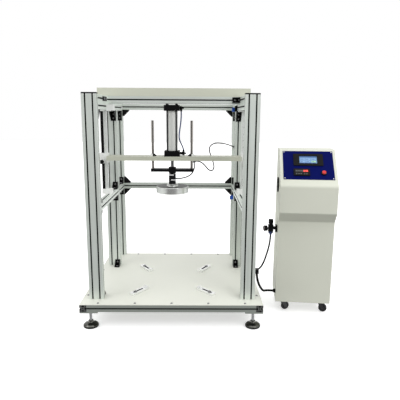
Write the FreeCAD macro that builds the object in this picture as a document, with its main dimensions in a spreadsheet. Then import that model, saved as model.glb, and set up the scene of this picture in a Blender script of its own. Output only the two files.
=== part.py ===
import FreeCAD, Part
import os, math, sys
from FreeCAD import Vector as V, Placement, Rotation
import Sketcher

# Chair seat impact tester: gantry of slotted profiles on a deck, an adjustable
# crossbeam with an air ram, load cell and impact disc, and a control cabinet.
# Millimetres, +Z up. Built about the gantry's middle, then moved so that the
# origin is the bottom centre of the whole machine's box.

doc = FreeCAD.newDocument("SeatImpactTester")
sheet = doc.addObject("Spreadsheet::Sheet", "Dims")

DIMS = [
    ("DeckWidth", 1020.0, "deck plate across"),
    ("DeckDepth", 930.0, "deck plate front to back"),
    ("DeckThick", 3.0, "deck sheet"),
    ("DeckTop", 150.0, "deck surface above the floor"),
    ("DeckFront", -450.0, "front edge of the deck, along Y"),
    ("Module", 40.0, "profile module, slot pitch"),
    ("PostTop", 1291.0, "top of the front posts"),
    ("FrontPostY", -355.0, "front posts' middle, along Y"),
    ("MidPostY", 225.0, "middle posts' middle, along Y"),
    ("RearPostY", 460.0, "rear posts' middle, along Y"),
    ("PostX", 430.0, "middle of the 80 wide posts, across"),
    ("RearPostX", 410.0, "middle of the 40 wide posts, across"),
    ("MidBeamZ", 676.0, "middle ring height"),
    ("CoverWidth", 908.0, "top cover channel length"),
    ("CoverDepth", 120.0, "top cover channel depth"),
    ("CoverHeight", 48.0, "top cover channel height"),
    ("SheetThick", 3.0, "folded sheet thickness"),
    ("GussetLeg", 44.0, "corner bracket leg"),
    ("LongLeg", 68.0, "top side bracket leg"),
    ("GussetWidth", 32.0, "corner bracket width"),
    ("BeamLength", 822.0, "crossbeam length"),
    ("BeamDepth", 120.0, "crossbeam depth"),
    ("BeamThick", 25.0, "crossbeam thickness"),
    ("BeamBottom", 909.0, "crossbeam underside above the floor"),
    ("RailWidth", 20.0, "guide rail across"),
    ("RailDepth", 18.0, "guide rail front to back"),
    ("RailLength", 477.0, "guide rail length"),
    ("RamX", -15.0, "ram axis, across"),
    ("CapSize", 94.0, "cylinder end cap side"),
    ("CapHeight", 34.0, "cylinder end cap height"),
    ("BarrelOut", 70.0, "barrel outer diameter"),
    ("BarrelBore", 63.0, "cylinder bore"),
    ("BarrelLength", 240.0, "barrel length"),
    ("RodDiameter", 20.0, "piston rod diameter"),
    ("GuideRodDiameter", 16.0, "guide rod diameter"),
    ("GuideRodPitch", 120.0, "guide rod distance from the ram axis"),
    ("GuideRodLength", 312.0, "guide rod length"),
    ("YokeLength", 264.0, "yoke bar length"),
    ("YokeThick", 17.0, "yoke bar thickness"),
    ("YokeDepth", 56.0, "yoke bar front to back"),
    ("HubDiameter", 46.0, "coupling hub diameter"),
    ("CellWidth", 42.0, "load cell width"),
    ("CellHeight", 62.0, "load cell height"),
    ("CellDepth", 28.0, "load cell depth"),
    ("DiscDiameter", 200.0, "impact disc diameter"),
    ("DiscThick", 40.0, "impact disc thickness"),
    ("BossDiameter", 70.0, "impact disc boss diameter"),
    ("ClampLength", 130.0, "specimen clamp bar length"),
    ("ClampWidth", 34.0, "specimen clamp bar width"),
    ("ClampThick", 12.0, "specimen clamp bar thickness"),
    ("CabinetWidth", 322.0, "cabinet across"),
    ("CabinetDepth", 262.0, "cabinet front to back at the base"),
    ("CabinetWall", 2.0, "cabinet sheet"),
    ("PanelWidth", 288.0, "control panel across"),
    ("PanelHeight", 204.0, "control panel along the slope"),
    ("PanelThick", 2.0, "control panel sheet"),
    ("DoorWidth", 294.0, "rear door across"),
    ("DoorHeight", 860.0, "rear door height"),
    ("WheelDiameter", 50.0, "castor wheel diameter"),
    ("WheelWidth", 18.0, "castor wheel width"),
    ("FootDiameter", 86.0, "levelling foot diameter"),
    ("StemDiameter", 16.0, "levelling foot stem"),
    ("FanSize", 80.0, "cabinet fan frame side"),
    ("AirTube", 8.0, "ram air tube diameter"),
    ("CellCable", 7.0, "load cell cable diameter"),
    ("SupplyHose", 10.0, "air supply hose diameter"),
    ("SignalCable", 13.0, "signal cable diameter"),
]
for i, (n, v, c) in enumerate(DIMS, 1):
    sheet.set("A%d" % i, n)
    sheet.set("B%d" % i, str(v))
    sheet.set("C%d" % i, c)
    sheet.setAlias("B%d" % i, n)
doc.recompute()
D = {n: float(sheet.get(n)) for n, v, c in DIMS}


def setx(o, prop, e):
    """Bind a size to the sheet (a word or a formula), or set a plain number."""
    if isinstance(e, str):
        o.setExpression(prop, e if "Dims." in e else "Dims." + e)
    else:
        setattr(o, prop, e)


def pl(x=0, y=0, z=0, rot=None):
    return Placement(V(x, y, z), rot if rot else Rotation())


ROT_X = Rotation(V(0, 1, 0), 90)     # section drawn on XY, run along +X
ROT_Y = Rotation(V(1, 0, 0), -90)    # section drawn on XY, run along +Y


def plane_of(body, role):
    return [f for f in body.Origin.OriginFeatures if f.Role == role][0]


def lines(pts):
    n = len(pts)
    return [Part.LineSegment(V(pts[i][0], pts[i][1], 0), V(pts[(i + 1) % n][0], pts[(i + 1) % n][1], 0))
            for i in range(n)]


def circle(x, y, r):
    return Part.Circle(V(x, y, 0), V(0, 0, 1), r)


def rounded(pts):
    """Closed outline from (x, y, radius) corners: straight runs and tangent arcs."""
    n = len(pts)
    cut = []
    for i in range(n):
        p0, p, p1 = V(*pts[i - 1][:2], 0), V(*pts[i][:2], 0), V(*pts[(i + 1) % n][:2], 0)
        r = pts[i][2]
        a, b = (p0 - p).normalize(), (p1 - p).normalize()
        if r <= 0:
            cut.append((p, p, None))
            continue
        ang = a.getAngle(b)
        t = r / math.tan(ang / 2)
        s, e = p + a * t, p + b * t
        m = (a + b).normalize()
        c = p + m * (r / math.sin(ang / 2))
        mid = c - m * r
        cut.append((s, e, mid))
    out = []
    for i in range(n):
        s, e, mid = cut[i]
        if mid is not None:
            out.append(Part.Arc(s, mid, e))
        nxt = cut[(i + 1) % n][0]
        if (nxt - e).Length > 1e-6:
            out.append(Part.LineSegment(e, nxt))
    return out


def pad(name, geo, length, place=None, plane="XY_Plane"):
    """A padded sketch in a body of its own."""
    b = doc.addObject("PartDesign::Body", name)
    sk = b.newObject("Sketcher::SketchObject", name + "_sketch")
    sk.AttachmentSupport = [(plane_of(b, plane), "")]
    sk.MapMode = "FlatFace"
    sk.addGeometry(geo, False)
    p = b.newObject("PartDesign::Pad", name + "_pad")
    p.Profile = sk
    setx(p, "Length", length)
    sk.Visibility = False
    if place:
        b.Placement = place
    return b


def revolve(name, pts, place=None):
    """A turned piece: outline in (radius, height), turned about the body's Z."""
    b = doc.addObject("PartDesign::Body", name)
    sk = b.newObject("Sketcher::SketchObject", name + "_sketch")
    sk.AttachmentSupport = [(plane_of(b, "XZ_Plane"), "")]
    sk.MapMode = "FlatFace"
    sk.addGeometry(rounded(pts), False)
    r = b.newObject("PartDesign::Revolution", name + "_turn")
    r.Profile = sk
    r.ReferenceAxis = (sk, ["V_Axis"])
    r.Angle = 360.0
    if place:
        b.Placement = place
    return b


def plate(name, w, d, thick, holes=(), place=None, rnd=0.0):
    """Flat plate, lower left corner at the origin, edges held by sketch sizes."""
    b = doc.addObject("PartDesign::Body", name)
    sk = b.newObject("Sketcher::SketchObject", name + "_sketch")
    sk.AttachmentSupport = [(plane_of(b, "XY_Plane"), "")]
    sk.MapMode = "FlatFace"
    wv, dv = D[w], D[d]
    sk.addGeometry(lines([(0, 0), (wv, 0), (wv, dv), (0, dv)]), False)
    C = Sketcher.Constraint
    for i in range(4):
        sk.addConstraint(C("Coincident", i, 2, (i + 1) % 4, 1))
    sk.addConstraint(C("Horizontal", 0))
    sk.addConstraint(C("Horizontal", 2))
    sk.addConstraint(C("Vertical", 1))
    sk.addConstraint(C("Vertical", 3))
    sk.addConstraint(C("Coincident", 0, 1, -1, 1))
    k = sk.addConstraint(C("DistanceX", 0, 1, 0, 2, wv))
    sk.setExpression("Constraints[%d]" % k, "Dims." + w)
    k = sk.addConstraint(C("DistanceY", 1, 1, 1, 2, dv))
    sk.setExpression("Constraints[%d]" % k, "Dims." + d)
    for x, y, r in holes:
        g = sk.addGeometry(circle(x, y, r), False)
        sk.addConstraint(C("Radius", g, r))
        sk.addConstraint(C("DistanceX", -1, 1, g, 3, x))
        sk.addConstraint(C("DistanceY", -1, 1, g, 3, y))
    p = b.newObject("PartDesign::Pad", name + "_pad")
    p.Profile = sk
    setx(p, "Length", thick)
    if place:
        b.Placement = place
    return b


def box(name, l, w, t, x=0, y=0, z=0, rot=None):
    o = doc.addObject("Part::Box", name)
    setx(o, "Length", l)
    setx(o, "Width", w)
    setx(o, "Height", t)
    o.Placement = pl(x, y, z, rot)
    return o


def cyl(name, dia, length, x=0, y=0, z=0, rot=None):
    o = doc.addObject("Part::Cylinder", name)
    if isinstance(dia, str):
        setx(o, "Radius", ("Dims." + dia if "Dims." not in dia else dia) + " / 2")
    else:
        o.Radius = dia / 2.0
    setx(o, "Height", length)
    o.Placement = pl(x, y, z, rot)
    return o


def cut(name, base, tools):
    if len(tools) == 1:
        t = tools[0]
    else:
        t = doc.addObject("Part::MultiFuse", name + "_tools")
        t.Shapes = tools
    o = doc.addObject("Part::Cut", name)
    o.Base = base
    o.Tool = t
    return o


def fuse(name, parts):
    o = doc.addObject("Part::MultiFuse", name)
    o.Shapes = parts
    o.Refine = True
    return o


def group(name, parts):
    o = doc.addObject("Part::Compound", name)
    o.Links = parts
    return o


def mirrored(name, src):
    o = doc.addObject("Part::Mirroring", name)
    o.Source = src
    o.Base = V(0, 0, 0)
    o.Normal = V(1, 0, 0)
    return o


def copies(name, items):
    """Repeated pieces: (source, placement) pairs gathered as separate solids."""
    doc.recompute()
    shapes = []
    for src, place in items:
        s = src.Shape.copy()
        s.Placement = place.multiply(src.Shape.Placement)
        shapes.append(s)
    o = doc.addObject("Part::Feature", name)
    o.Shape = Part.makeCompound(shapes)
    return o


# ---------------------------------------------------------------- profiles
M = D["Module"]


def profile_geo(nx, ny):
    """Slotted profile section, nx by ny modules, centred: outline, bores, corner voids."""
    W, H = nx * M, ny * M
    slot = [(-4, 0), (-4, 4.5), (-8.5, 4.5), (-8.5, 7), (-4.5, 11),
            (4.5, 11), (8.5, 7), (8.5, 4.5), (4, 4.5), (4, 0)]
    pts = []

    def side(x0, y0, tx, ty, nxn, nyn, count):
        pts.append((x0, y0))
        for k in range(count):
            c = M * (k + 0.5)
            for a, dep in slot:
                pts.append((x0 + tx * (c + a) + nxn * dep, y0 + ty * (c + a) + nyn * dep))
    side(-W / 2, -H / 2, 1, 0, 0, 1, nx)
    side(W / 2, -H / 2, 0, 1, -1, 0, ny)
    side(W / 2, H / 2, -1, 0, 0, -1, nx)
    side(-W / 2, H / 2, 0, -1, 1, 0, ny)
    geo = lines(pts)
    for i in range(nx):
        for j in range(ny):
            geo.append(circle(-W / 2 + M * (i + 0.5), -H / 2 + M * (j + 0.5), 3.5))
    for sx in (-1, 1):
        for sy in (-1, 1):
            cx, cy = sx * (W / 2 - 6), sy * (H / 2 - 6)
            geo += lines([(cx - 2.8, cy - 2.8), (cx + 2.8, cy - 2.8), (cx + 2.8, cy + 2.8), (cx - 2.8, cy + 2.8)])
    return geo


def profile(name, nx, ny, start, axis, length):
    rot = {"X": ROT_X, "Y": ROT_Y, "Z": Rotation()}[axis]
    return pad(name, profile_geo(nx, ny), length, Placement(V(*start), rot))


NODES = {}


def node(label, obj):
    obj.Label = label
    NODES[label] = obj
    return obj


PX, RX = D["PostX"], D["RearPostX"]
FY, MY, RY = D["FrontPostY"], D["MidPostY"], D["RearPostY"]
TOP, DT = D["PostTop"], D["DeckTop"]
Y0 = D["DeckFront"]
Y1 = Y0 + D["DeckDepth"]
BZ = DT - D["DeckThick"] - M / 2              # base beam axis height

# base beams: two along the sides, five across
side_beam = profile("side_beam", 1, 1, (490, Y0, BZ), "Y", "DeckDepth")
side_beam_m = mirrored("side_beam_mirror", side_beam)
cross_src = profile("cross_beam", 1, 1, (-470, 0, BZ), "X", "Dims.DeckWidth - 2 * Dims.Module")
cross_ys = (Y0 + 20, FY, 0, MY, RY)
base_cross = copies("base_cross", [(cross_src, pl(0, y, 0)) for y in cross_ys])
node("base_beams", group("base_beams_group", [side_beam, side_beam_m, base_cross]))

# deck plate with its screw holes
front_screws = [(x, Y0 + 20) for x in (-410, -205, 0, 205, 410)]
rear_screws = [(x, RY) for x in (-300, -100, 100, 300)]
side_screws = [(sx * 490, y) for sx in (-1, 1) for y in (-318, -110, 110, 340)]
CLAMPS = {  # outer end, inner end, screw distance from the outer end
    "front_left": ((-241.0, -320.0), (-163.0, -214.0)),
    "front_right": ((240.0, -318.0), (144.0, -213.0)),
    "rear_left": ((-238.0, 189.0), (-168.0, 84.0)),
    "rear_right": ((224.0, 186.0), (160.0, 74.0)),
}
clamp_dirs = {}
for k, (o, i_) in CLAMPS.items():
    dx, dy = i_[0] - o[0], i_[1] - o[1]
    L = math.hypot(dx, dy)
    clamp_dirs[k] = (dx / L, dy / L)
clamp_screw_pos = {k: (CLAMPS[k][0][0] + clamp_dirs[k][0] * 36, CLAMPS[k][0][1] + clamp_dirs[k][1] * 36) for k in CLAMPS}
deck_holes = [(x + D["DeckWidth"] / 2, y - Y0, 4.2)
              for x, y in front_screws + rear_screws + side_screws + list(clamp_screw_pos.values())]
deck = plate("deck", "DeckWidth", "DeckDepth", "DeckThick", deck_holes,
             pl(-D["DeckWidth"] / 2, Y0, DT - D["DeckThick"]))

# posts: front and middle 80 x 40, rear 40 x 40
fp = profile("front_post", 2, 1, (PX, FY, DT), "Z", "Dims.PostTop - Dims.DeckTop")
mp = profile("mid_post", 2, 1, (PX, MY, DT), "Z", "Dims.PostTop - 2 * Dims.Module - Dims.DeckTop")
rp = profile("rear_post", 1, 1, (RX, RY, DT), "Z", "Dims.PostTop - 2 * Dims.Module - Dims.DeckTop")
node("posts", group("posts_group", [fp, mirrored("front_post_m", fp), mp, mirrored("mid_post_m", mp),
                                    rp, mirrored("rear_post_m", rp)]))

# upper beams: side beams 80 tall, rear beam, two centre beams, middle ring
side_y0, side_y1 = FY + M / 2, RY + M / 2
sb = profile("top_side_beam", 1, 2, (RX, side_y0, TOP - M), "Y", side_y1 - side_y0)
inner = 2 * (RX - M / 2)
rbz = 1238.0
rb = profile("rear_top_beam", 1, 1, (-inner / 2, RY, rbz), "X", inner)
cb = profile("top_centre_beam", 1, 1, (-inner / 2, -M, TOP - M / 2), "X", inner)
cb2 = copies("top_centre_rear", [(cb, pl(0, 2 * M, 0))])
rm = profile("rear_mid_beam", 1, 1, (-inner / 2, RY, D["MidBeamZ"]), "X", inner)
ms1 = profile("mid_side_front", 1, 1, (RX, FY + M / 2, D["MidBeamZ"]), "Y", MY - FY - M)
ms2 = profile("mid_side_rear", 1, 1, (RX, MY + M / 2, D["MidBeamZ"]), "Y", RY - MY - M)
node("upper_beams", group("upper_beams_group", [sb, mirrored("top_side_m", sb), rb, cb, cb2, rm, ms1,
                                                mirrored("mid_side_front_m", ms1), ms2, mirrored("mid_side_rear_m", ms2)]))

# top cover: folded channel, open underneath, over the two centre beams
cw, cd, ch, st = D["CoverWidth"], D["CoverDepth"], D["CoverHeight"], D["SheetThick"]
cover_out = box("cover_outer", "CoverWidth", "CoverDepth", "CoverHeight", -cw / 2, -cd / 2, TOP)
cover_in = box("cover_inner", "Dims.CoverWidth - 2 * Dims.SheetThick", "Dims.CoverDepth - 2 * Dims.SheetThick",
               "CoverHeight", -cw / 2 + st, -cd / 2 + st, TOP - st)
node("top_cover", cut("cover_shell", cover_out, [cover_in]))

# corner brackets: two 4.5 mm plates and two side ribs, one screw in each plate
gw = D["GussetWidth"]


def bracket(tag, gl, at):
    """Corner bracket with leg gl and screw holes at the given distances from the corner."""
    out = pad(tag + "_outer", lines([(0, 0), (gl, 0), (gl, 6), (6, gl), (0, gl)]), "GussetWidth")
    inn = pad(tag + "_inner", lines([(4.5, 4.5), (gl + 6, 4.5), (gl + 6, gl + 6), (4.5, gl + 6)]), gw - 7, pl(0, 0, 3.5))
    holes = []
    for k, h in enumerate(at):
        holes.append(cyl("%s_hole_a%d" % (tag, k), 8.4, 10, h, -2, gw / 2, Rotation(V(1, 0, 0), -90)))
        holes.append(cyl("%s_hole_b%d" % (tag, k), 8.4, 10, -2, h, gw / 2, Rotation(V(0, 1, 0), 90)))
    return cut(tag, out, [inn] + holes)


SMALL, LARGE = (27.0,), (24.0, 50.0)
gusset = bracket("gusset", D["GussetLeg"], SMALL)
gusset_l = bracket("long_gusset", D["LongLeg"], LARGE)

# M8 x 12 button head screw, hex socket; the head's underside is at its origin
scr_head = revolve("screw_head", [(0, 0, 0), (6.6, 0, 0), (6.6, 1.4, 0), (4.6, 4.4, 2.0), (0, 4.4, 0)])
scr_shank = cyl("screw_shank", 7.6, 12, 0, 0, -12)
hexpts = [(2.9 * math.cos(math.radians(60 * k)), 2.9 * math.sin(math.radians(60 * k))) for k in range(6)]
scr_hex = pad("screw_socket", lines(hexpts), 5, pl(0, 0, 1.6))
scr_solid = fuse("screw_solid", [scr_head, scr_shank])
screw = cut("screw", scr_solid, [scr_hex])


def corner(c, dx, dy):
    """Placement of a bracket: corner point, direction of each leg, centred on its width."""
    ex, ey = V(*dx), V(*dy)
    ez = ex.cross(ey)
    rot = Rotation(ex, ey, ez, "XYZ")
    return Placement(V(*c) - ez * (gw / 2), rot)


mz = D["MidBeamZ"]
GUS = []
for s in (-1, 1):
    i = s * (RX - M / 2)
    GUS += [((i, RY, rbz - M / 2), (-s, 0, 0), (0, 0, -1)),
            ((i, RY, mz + M / 2), (-s, 0, 0), (0, 0, 1)),
            ((i, RY, mz - M / 2), (-s, 0, 0), (0, 0, -1)),
            ((s * RX, MY - M / 2, mz + M / 2), (0, -1, 0), (0, 0, 1)),
            ((s * RX, MY - M / 2, mz - M / 2), (0, -1, 0), (0, 0, -1)),
            ((s * RX, RY - M / 2, mz + M / 2), (0, -1, 0), (0, 0, 1)),
            ((s * RX, RY - M / 2, mz - M / 2), (0, -1, 0), (0, 0, -1)),
            ((s * RX, FY + M / 2, mz + M / 2), (0, 1, 0), (0, 0, 1)),
            ((s * RX, FY + M / 2, mz - M / 2), (0, 1, 0), (0, 0, -1)),
            ((s * RX, FY + M / 2, DT), (0, 1, 0), (0, 0, 1)),
            ((s * RX, MY - M / 2, DT), (0, -1, 0), (0, 0, 1)),
            ((i, 3 * M / 2, TOP - M / 2), (-s, 0, 0), (0, 1, 0))]
GUS.append(((RX - M / 2, -3 * M / 2, TOP - M / 2), (-1, 0, 0), (0, -1, 0)))
LONG = []
for s in (-1, 1):
    LONG += [((s * RX, MY - M / 2, TOP - 2 * M), (0, -1, 0), (0, 0, -1)),
             ((s * RX, RY - M / 2, TOP - 2 * M), (0, -1, 0), (0, 0, -1)),
             ((s * RX, FY + M / 2, TOP - 2 * M), (0, 1, 0), (0, 0, -1))]
# straight joint plate on the left side beam's inner face
jx, jy = -(RX - M / 2), (-190.0, -140.0)
jp = cut("joint_plate", pad("joint_plate_blank", rounded([(-215, 1259, 3), (-120, 1259, 3), (-120, 1283, 3), (-215, 1283, 3)]), 5,
                            pl(jx, 0, 0, Rotation(V(0, 1, 0), V(0, 0, 1), V(1, 0, 0), "XYZ"))),
         [cyl("joint_plate_hole_%d" % k, 8.4, 12, jx - 2, y, 1271, Rotation(V(0, 1, 0), 90)) for k, y in enumerate(jy)])
node("corner_gussets", group("corner_gussets_group",
                             [copies("corner_gussets_set", [(gusset, corner(*g)) for g in GUS] +
                                     [(gusset_l, corner(*g)) for g in LONG]), jp]))

# screws of the frame: two in each bracket, and round the deck's edge
SCREWS = []
deck_foot = []
for (c, dx, dy), at in [(g, SMALL) for g in GUS] + [(g, LARGE) for g in LONG]:
    ex, ey = V(*dx), V(*dy)
    C0 = V(*c)
    for a, n, h in [(ex, ey, h) for h in at] + [(ey, ex, h) for h in at]:
        p = C0 + a * h + n * 4.5
        on_deck = abs(C0.z - DT) < 0.1 and abs(n.z) > 0.5
        if on_deck:
            deck_foot.append(p)
        SCREWS.append(Placement(p, Rotation(V(0, 0, 1), n)))
for x, y in front_screws + rear_screws + side_screws:
    SCREWS.append(pl(x, y, DT))
for y in jy:
    SCREWS.append(Placement(V(jx + 5, y, 1271), Rotation(V(0, 0, 1), V(1, 0, 0))))
# where a post bracket is screwed down, the deck has a hole as well
foot_hole_tools = [cyl("deck_foot_hole_%d" % k, 8.4, 30, p.x, p.y, DT - 14) for k, p in enumerate(deck_foot)]
node("deck_plate", cut("deck_cut", deck, foot_hole_tools))

# clamp screws: button head, wide washer, nut under the deck
cs_head = revolve("clamp_head", [(0, 13.8, 0), (10.5, 13.8, 0), (10.5, 15.2, 0), (6.6, 15.4, 0), (6.6, 16.4, 0),
                                 (4.6, 19.0, 1.5), (0, 19.0, 0)])
cs_shank = cyl("clamp_shank", 7.6, 28, 0, 0, -11.5)
cs_hex = pad("clamp_socket", lines(hexpts), 5, pl(0, 0, 16.0))
cs_nut = pad("clamp_nut", lines([(7.5 * math.cos(math.radians(60 * k)), 7.5 * math.sin(math.radians(60 * k))) for k in range(6)]),
             6.0, pl(0, 0, -3.0 - 6.4))
clamp_screw = cut("clamp_screw", fuse("clamp_screw_solid", [cs_head, cs_shank, cs_nut]), [cs_hex])
screw_items = [(screw, p) for p in SCREWS]
screw_items += [(clamp_screw, pl(x, y, DT)) for x, y in clamp_screw_pos.values()]
node("frame_screws", copies("frame_screws_set", screw_items))

# black end caps on the front posts
cap = pad("post_cap", rounded([(-40, -20, 3), (40, -20, 3), (40, 20, 3), (-40, 20, 3)]), 7.0, pl(PX, FY, TOP))
node("post_caps", group("post_caps_group", [cap, mirrored("post_cap_m", cap)]))

# corner foot plates under the base, tapped for the stems
feet = [(sx * 460, y) for sx in (-1, 1) for y in (-400, 430)]
fplates = []
fstems = []
for k, (x, y) in enumerate(feet):
    sx = 1 if x > 0 else -1
    ya, yb = (Y0, Y0 + 100) if y < 0 else (Y1 - 100, Y1)
    xa = 410 if sx > 0 else -510
    b = box("foot_plate_%d" % k, 100, 100, 8, xa, ya, 99)
    h_ = cyl("foot_plate_hole_%d" % k, 16.1, 20, x, y, 90)
    fplates.append(cut("foot_plate_cut_%d" % k, b, [h_]))
node("foot_plates", group("foot_plates_group", fplates))
stem = cyl("foot_stem", "StemDiameter", 101, 0, 0, 24)
nut = pad("foot_nut", lines([(13.8 * math.cos(math.radians(60 * k)), 13.8 * math.sin(math.radians(60 * k))) for k in range(6)]), 13, pl(0, 0, 86))
nut_hole = cyl("foot_nut_hole", 16.1, 30, 0, 0, 80)
nut_c = cut("foot_nut_cut", nut, [nut_hole])
dome = revolve("foot_dome", [(0, 8, 0), (41, 8, 0), (43, 10, 0), (43, 12, 2), (36, 19, 6), (16, 27, 8), (13, 38, 3), (0, 38, 0)])
dome_hole = cyl("foot_dome_hole", 16.0, 40, 0, 0, 24)
dome_c = cut("foot_dome_cut", dome, [dome_hole])
node("levelling_feet", copies("levelling_feet_set", [(s, pl(x, y, 0)) for x, y in feet for s in (stem, nut_c, dome_c)]))
rub = revolve("foot_rubber", [(0, 0, 0), (41, 0, 2), (43, 3, 0), (43, 8, 0), (0, 8, 0)])
node("foot_rubbers", copies("foot_rubbers_set", [(rub, pl(x, y, 0)) for x, y in feet]))

# ---------------------------------------------------------------- vertical guides
rw, rd, rl = D["RailWidth"], D["RailDepth"], D["RailLength"]
RZ0 = 727.0
rail = box("rail_blank", "RailWidth", "RailDepth", "RailLength", 413, -rd / 2, RZ0)
rail_holes = [cyl("rail_hole_%d" % k, 7, 40, 413 + rw / 2, -20, RZ0 + 22 + 40 * k, Rotation(V(1, 0, 0), -90)) for k in range(12)]
rail_c = cut("rail_cut", rail, rail_holes)
node("guide_rails", group("guide_rails_group", [rail_c, mirrored("rail_m", rail_c)]))
back = pad("guide_back", rounded([(433, 0 - 10, 2), (451, -10, 2), (451, 10, 2), (433, 10, 2)]), rl, pl(0, 0, RZ0))
node("guide_backing_bars", group("guide_back_group", [back, mirrored("guide_back_m", back)]))
# end blocks, bolted to the side beams
tb = box("rail_top_block", 62, 40, 7, 390, -20, RZ0 + rl)
bb = box("rail_bottom_block", 62, 40, 31, 390, -20, 696)
# pale stop block on the left side beam
stop_b = box("top_stop_block", 42, 40, 35, -(RX - M / 2), -120, 1206)
node("rail_end_blocks", group("rail_end_group", [tb, mirrored("rail_top_m", tb), bb, mirrored("rail_bottom_m", bb), stop_b]))

# limit sensors looking inwards: one on the right side beam, one on the right rear post
sens = []
for k, (y, z) in enumerate(((100.0, 1219.0), (418.0, 595.0))):
    if k == 0:
        br = box("sensor_bracket_0", 4, 44, 40, RX - M / 2 - 4, y - 22, 1206)
        tab = box("sensor_tab_0", 10, 32, 34, RX - M / 2 - 14, y - 16, 1207)
    else:
        br = box("sensor_bracket_1", 34, 3, 34, 392, RY - M / 2 - 3, z - 17)
        tab = box("sensor_tab_1", 3, 36, 34, 423, RY - M / 2 - 36, z - 17)
    l1, l2 = (16, 32) if k == 0 else (18, 43)
    bdy = revolve("sensor_body_%d" % k, [(0, 0, 0), (12, 0, 1), (12, l1, 0), (13.5, l1, 0), (13.5, l2, 2), (0, l2, 0)],
                  Placement(V(RX - M / 2 if k == 0 else 423, y, z), Rotation(V(0, 1, 0), -90)))
    sens.append(fuse("sensor_%d" % k, [br, tab, bdy]))
node("limit_sensors", group("limit_sensors_group", sens))

# ---------------------------------------------------------------- crossbeam
HX = D["RamX"]
bl, bd, bt, bz = D["BeamLength"], D["BeamDepth"], D["BeamThick"], D["BeamBottom"]
ZT = bz + bt
GP = D["GuideRodPitch"]
beam = plate("crossbeam_blank", "BeamLength", "BeamDepth", "BeamThick",
             [(bl / 2 + HX, bd / 2, 17.0), (bl / 2 + HX - GP, bd / 2, 15.0), (bl / 2 + HX + GP, bd / 2, 15.0)],
             pl(-bl / 2, -bd / 2, bz))
node("crossbeam", beam)
# carriages: forks that wrap the guide, closed on the outside
car_o = pad("carriage_outer", rounded([(411, -30, 0), (458, -30, 4), (458, 30, 4), (411, 30, 0)]), 62, pl(0, 0, 889))
car_i = box("carriage_slot", 47.1, 20.2, 80, 404, -10.1, 880)
car_b = cyl("carriage_stud_hole", 8.4, 42, 444, -47, 899, Rotation(V(1, 0, 0), -90))
car = cut("carriage", car_o, [car_i, car_b])
node("crossbeam_carriages", group("carriages_group", [car, mirrored("carriage_m", car)]))


def knob(name, x):
    """Star knob with its stud, pointing out of the front."""
    pts = []
    for k in range(10):
        a = math.radians(36 * k)
        r = 15.0 if k % 2 == 0 else 11.5
        pts.append((r * math.cos(a), r * math.sin(a), 3.2))
    h_ = pad(name + "_grip", rounded(pts), 16, pl(0, 0, 8))
    n_ = cyl(name + "_neck", 16, 8, 0, 0, 0.3)
    s_ = cyl(name + "_stud", 8, 20.0, 0, 0, -19.7)
    f = fuse(name + "_fuse", [h_, n_, s_])
    f.Placement = Placement(V(x, -30.3, 899), Rotation(V(1, 0, 0), 90))
    return f


node("clamp_knob_left", knob("knob_l", -444.0))
node("clamp_knob_right", knob("knob_r", 444.0))

# cylinder: end caps, barrel, tie rods
cs, chh = D["CapSize"], D["CapHeight"]
BL = D["BarrelLength"]
ZC0 = ZT + chh
ZC1 = ZC0 + BL
sq = [(-cs / 2, -cs / 2, 5), (cs / 2, -cs / 2, 5), (cs / 2, cs / 2, 5), (-cs / 2, cs / 2, 5)]
TR = 28.25
tie_pos = [(sx * TR, sy * TR) for sx in (-1, 1) for sy in (-1, 1)]
lowcap = pad("low_cap_blank", rounded(sq) + [circle(0, 0, 10.05)] + [circle(x, y, 4.1) for x, y in tie_pos], "CapHeight", pl(HX, 0, ZT))
upcap = pad("up_cap_blank", rounded(sq) + [circle(x, y, 4.1) for x, y in tie_pos], "CapHeight", pl(HX, 0, ZC1))
port_l = cyl("low_port", 10.2, 24, HX + cs / 2 - 15, 0, ZT + 17, ROT_X)
port_u = cyl("up_port", 10.2, 24, HX + cs / 2 - 15, 0, ZC1 + 17, ROT_X)
node("cylinder_end_caps", group("end_caps_group", [cut("low_cap", lowcap, [port_l]), cut("up_cap", upcap, [port_u])]))
bar = pad("barrel", [circle(0, 0, D["BarrelOut"] / 2), circle(0, 0, D["BarrelBore"] / 2)], "BarrelLength", pl(HX, 0, ZC0))
node("cylinder_barrel", bar)
tie = cyl("tie_rod", 8, BL + 2 * chh + 8, 0, 0, ZT)
tien = pad("tie_nut", lines([(7.5 * math.cos(math.radians(60 * k)), 7.5 * math.sin(math.radians(60 * k))) for k in range(6)]),
           6.5, pl(0, 0, ZC1 + chh))
tie_f = fuse("tie_rod_nut", [tie, tien])
node("tie_rods", copies("tie_rods_set", [(tie_f, pl(HX + x, y, 0)) for x, y in tie_pos]))

# guide bushings: flange on the beam, sleeve through it, wiper ring on top
GR = D["GuideRodDiameter"] / 2
gb = revolve("bushing", [(GR + 0.05, 0, 0), (14.9, 0, 1), (14.9, bt, 0), (22, bt, 0), (22, bt + 7, 1.5), (15, bt + 8, 0), (15, bt + 13, 2), (GR + 0.05, bt + 13, 0)])
node("guide_bushings", copies("guide_bushings_set", [(gb, pl(HX + s * GP, 0, bz)) for s in (-1, 1)]))

# air fittings (speed controllers) in the two ports, and the cable clip under the beam
def fitting(name, zc, reach, up):
    stem_ = cyl(name + "_stem", 10.0, 13, HX + cs / 2 - 13, 0, zc, ROT_X)
    hexb = cyl(name + "_hex", 17, reach - 5, HX + cs / 2, 0, zc, ROT_X)
    body = cyl(name + "_body", 15, 22, HX + cs / 2 + reach, 0, zc - 11)
    out = cyl(name + "_outlet", 12.5, 24, HX + cs / 2 + reach, 0, zc - (4 if up else 20))
    adj = cyl(name + "_adjust", 9, 17, HX + cs / 2 + reach, 0, zc, ROT_X)
    return fuse(name + "_fitting", [stem_, hexb, body, out, adj])


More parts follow.
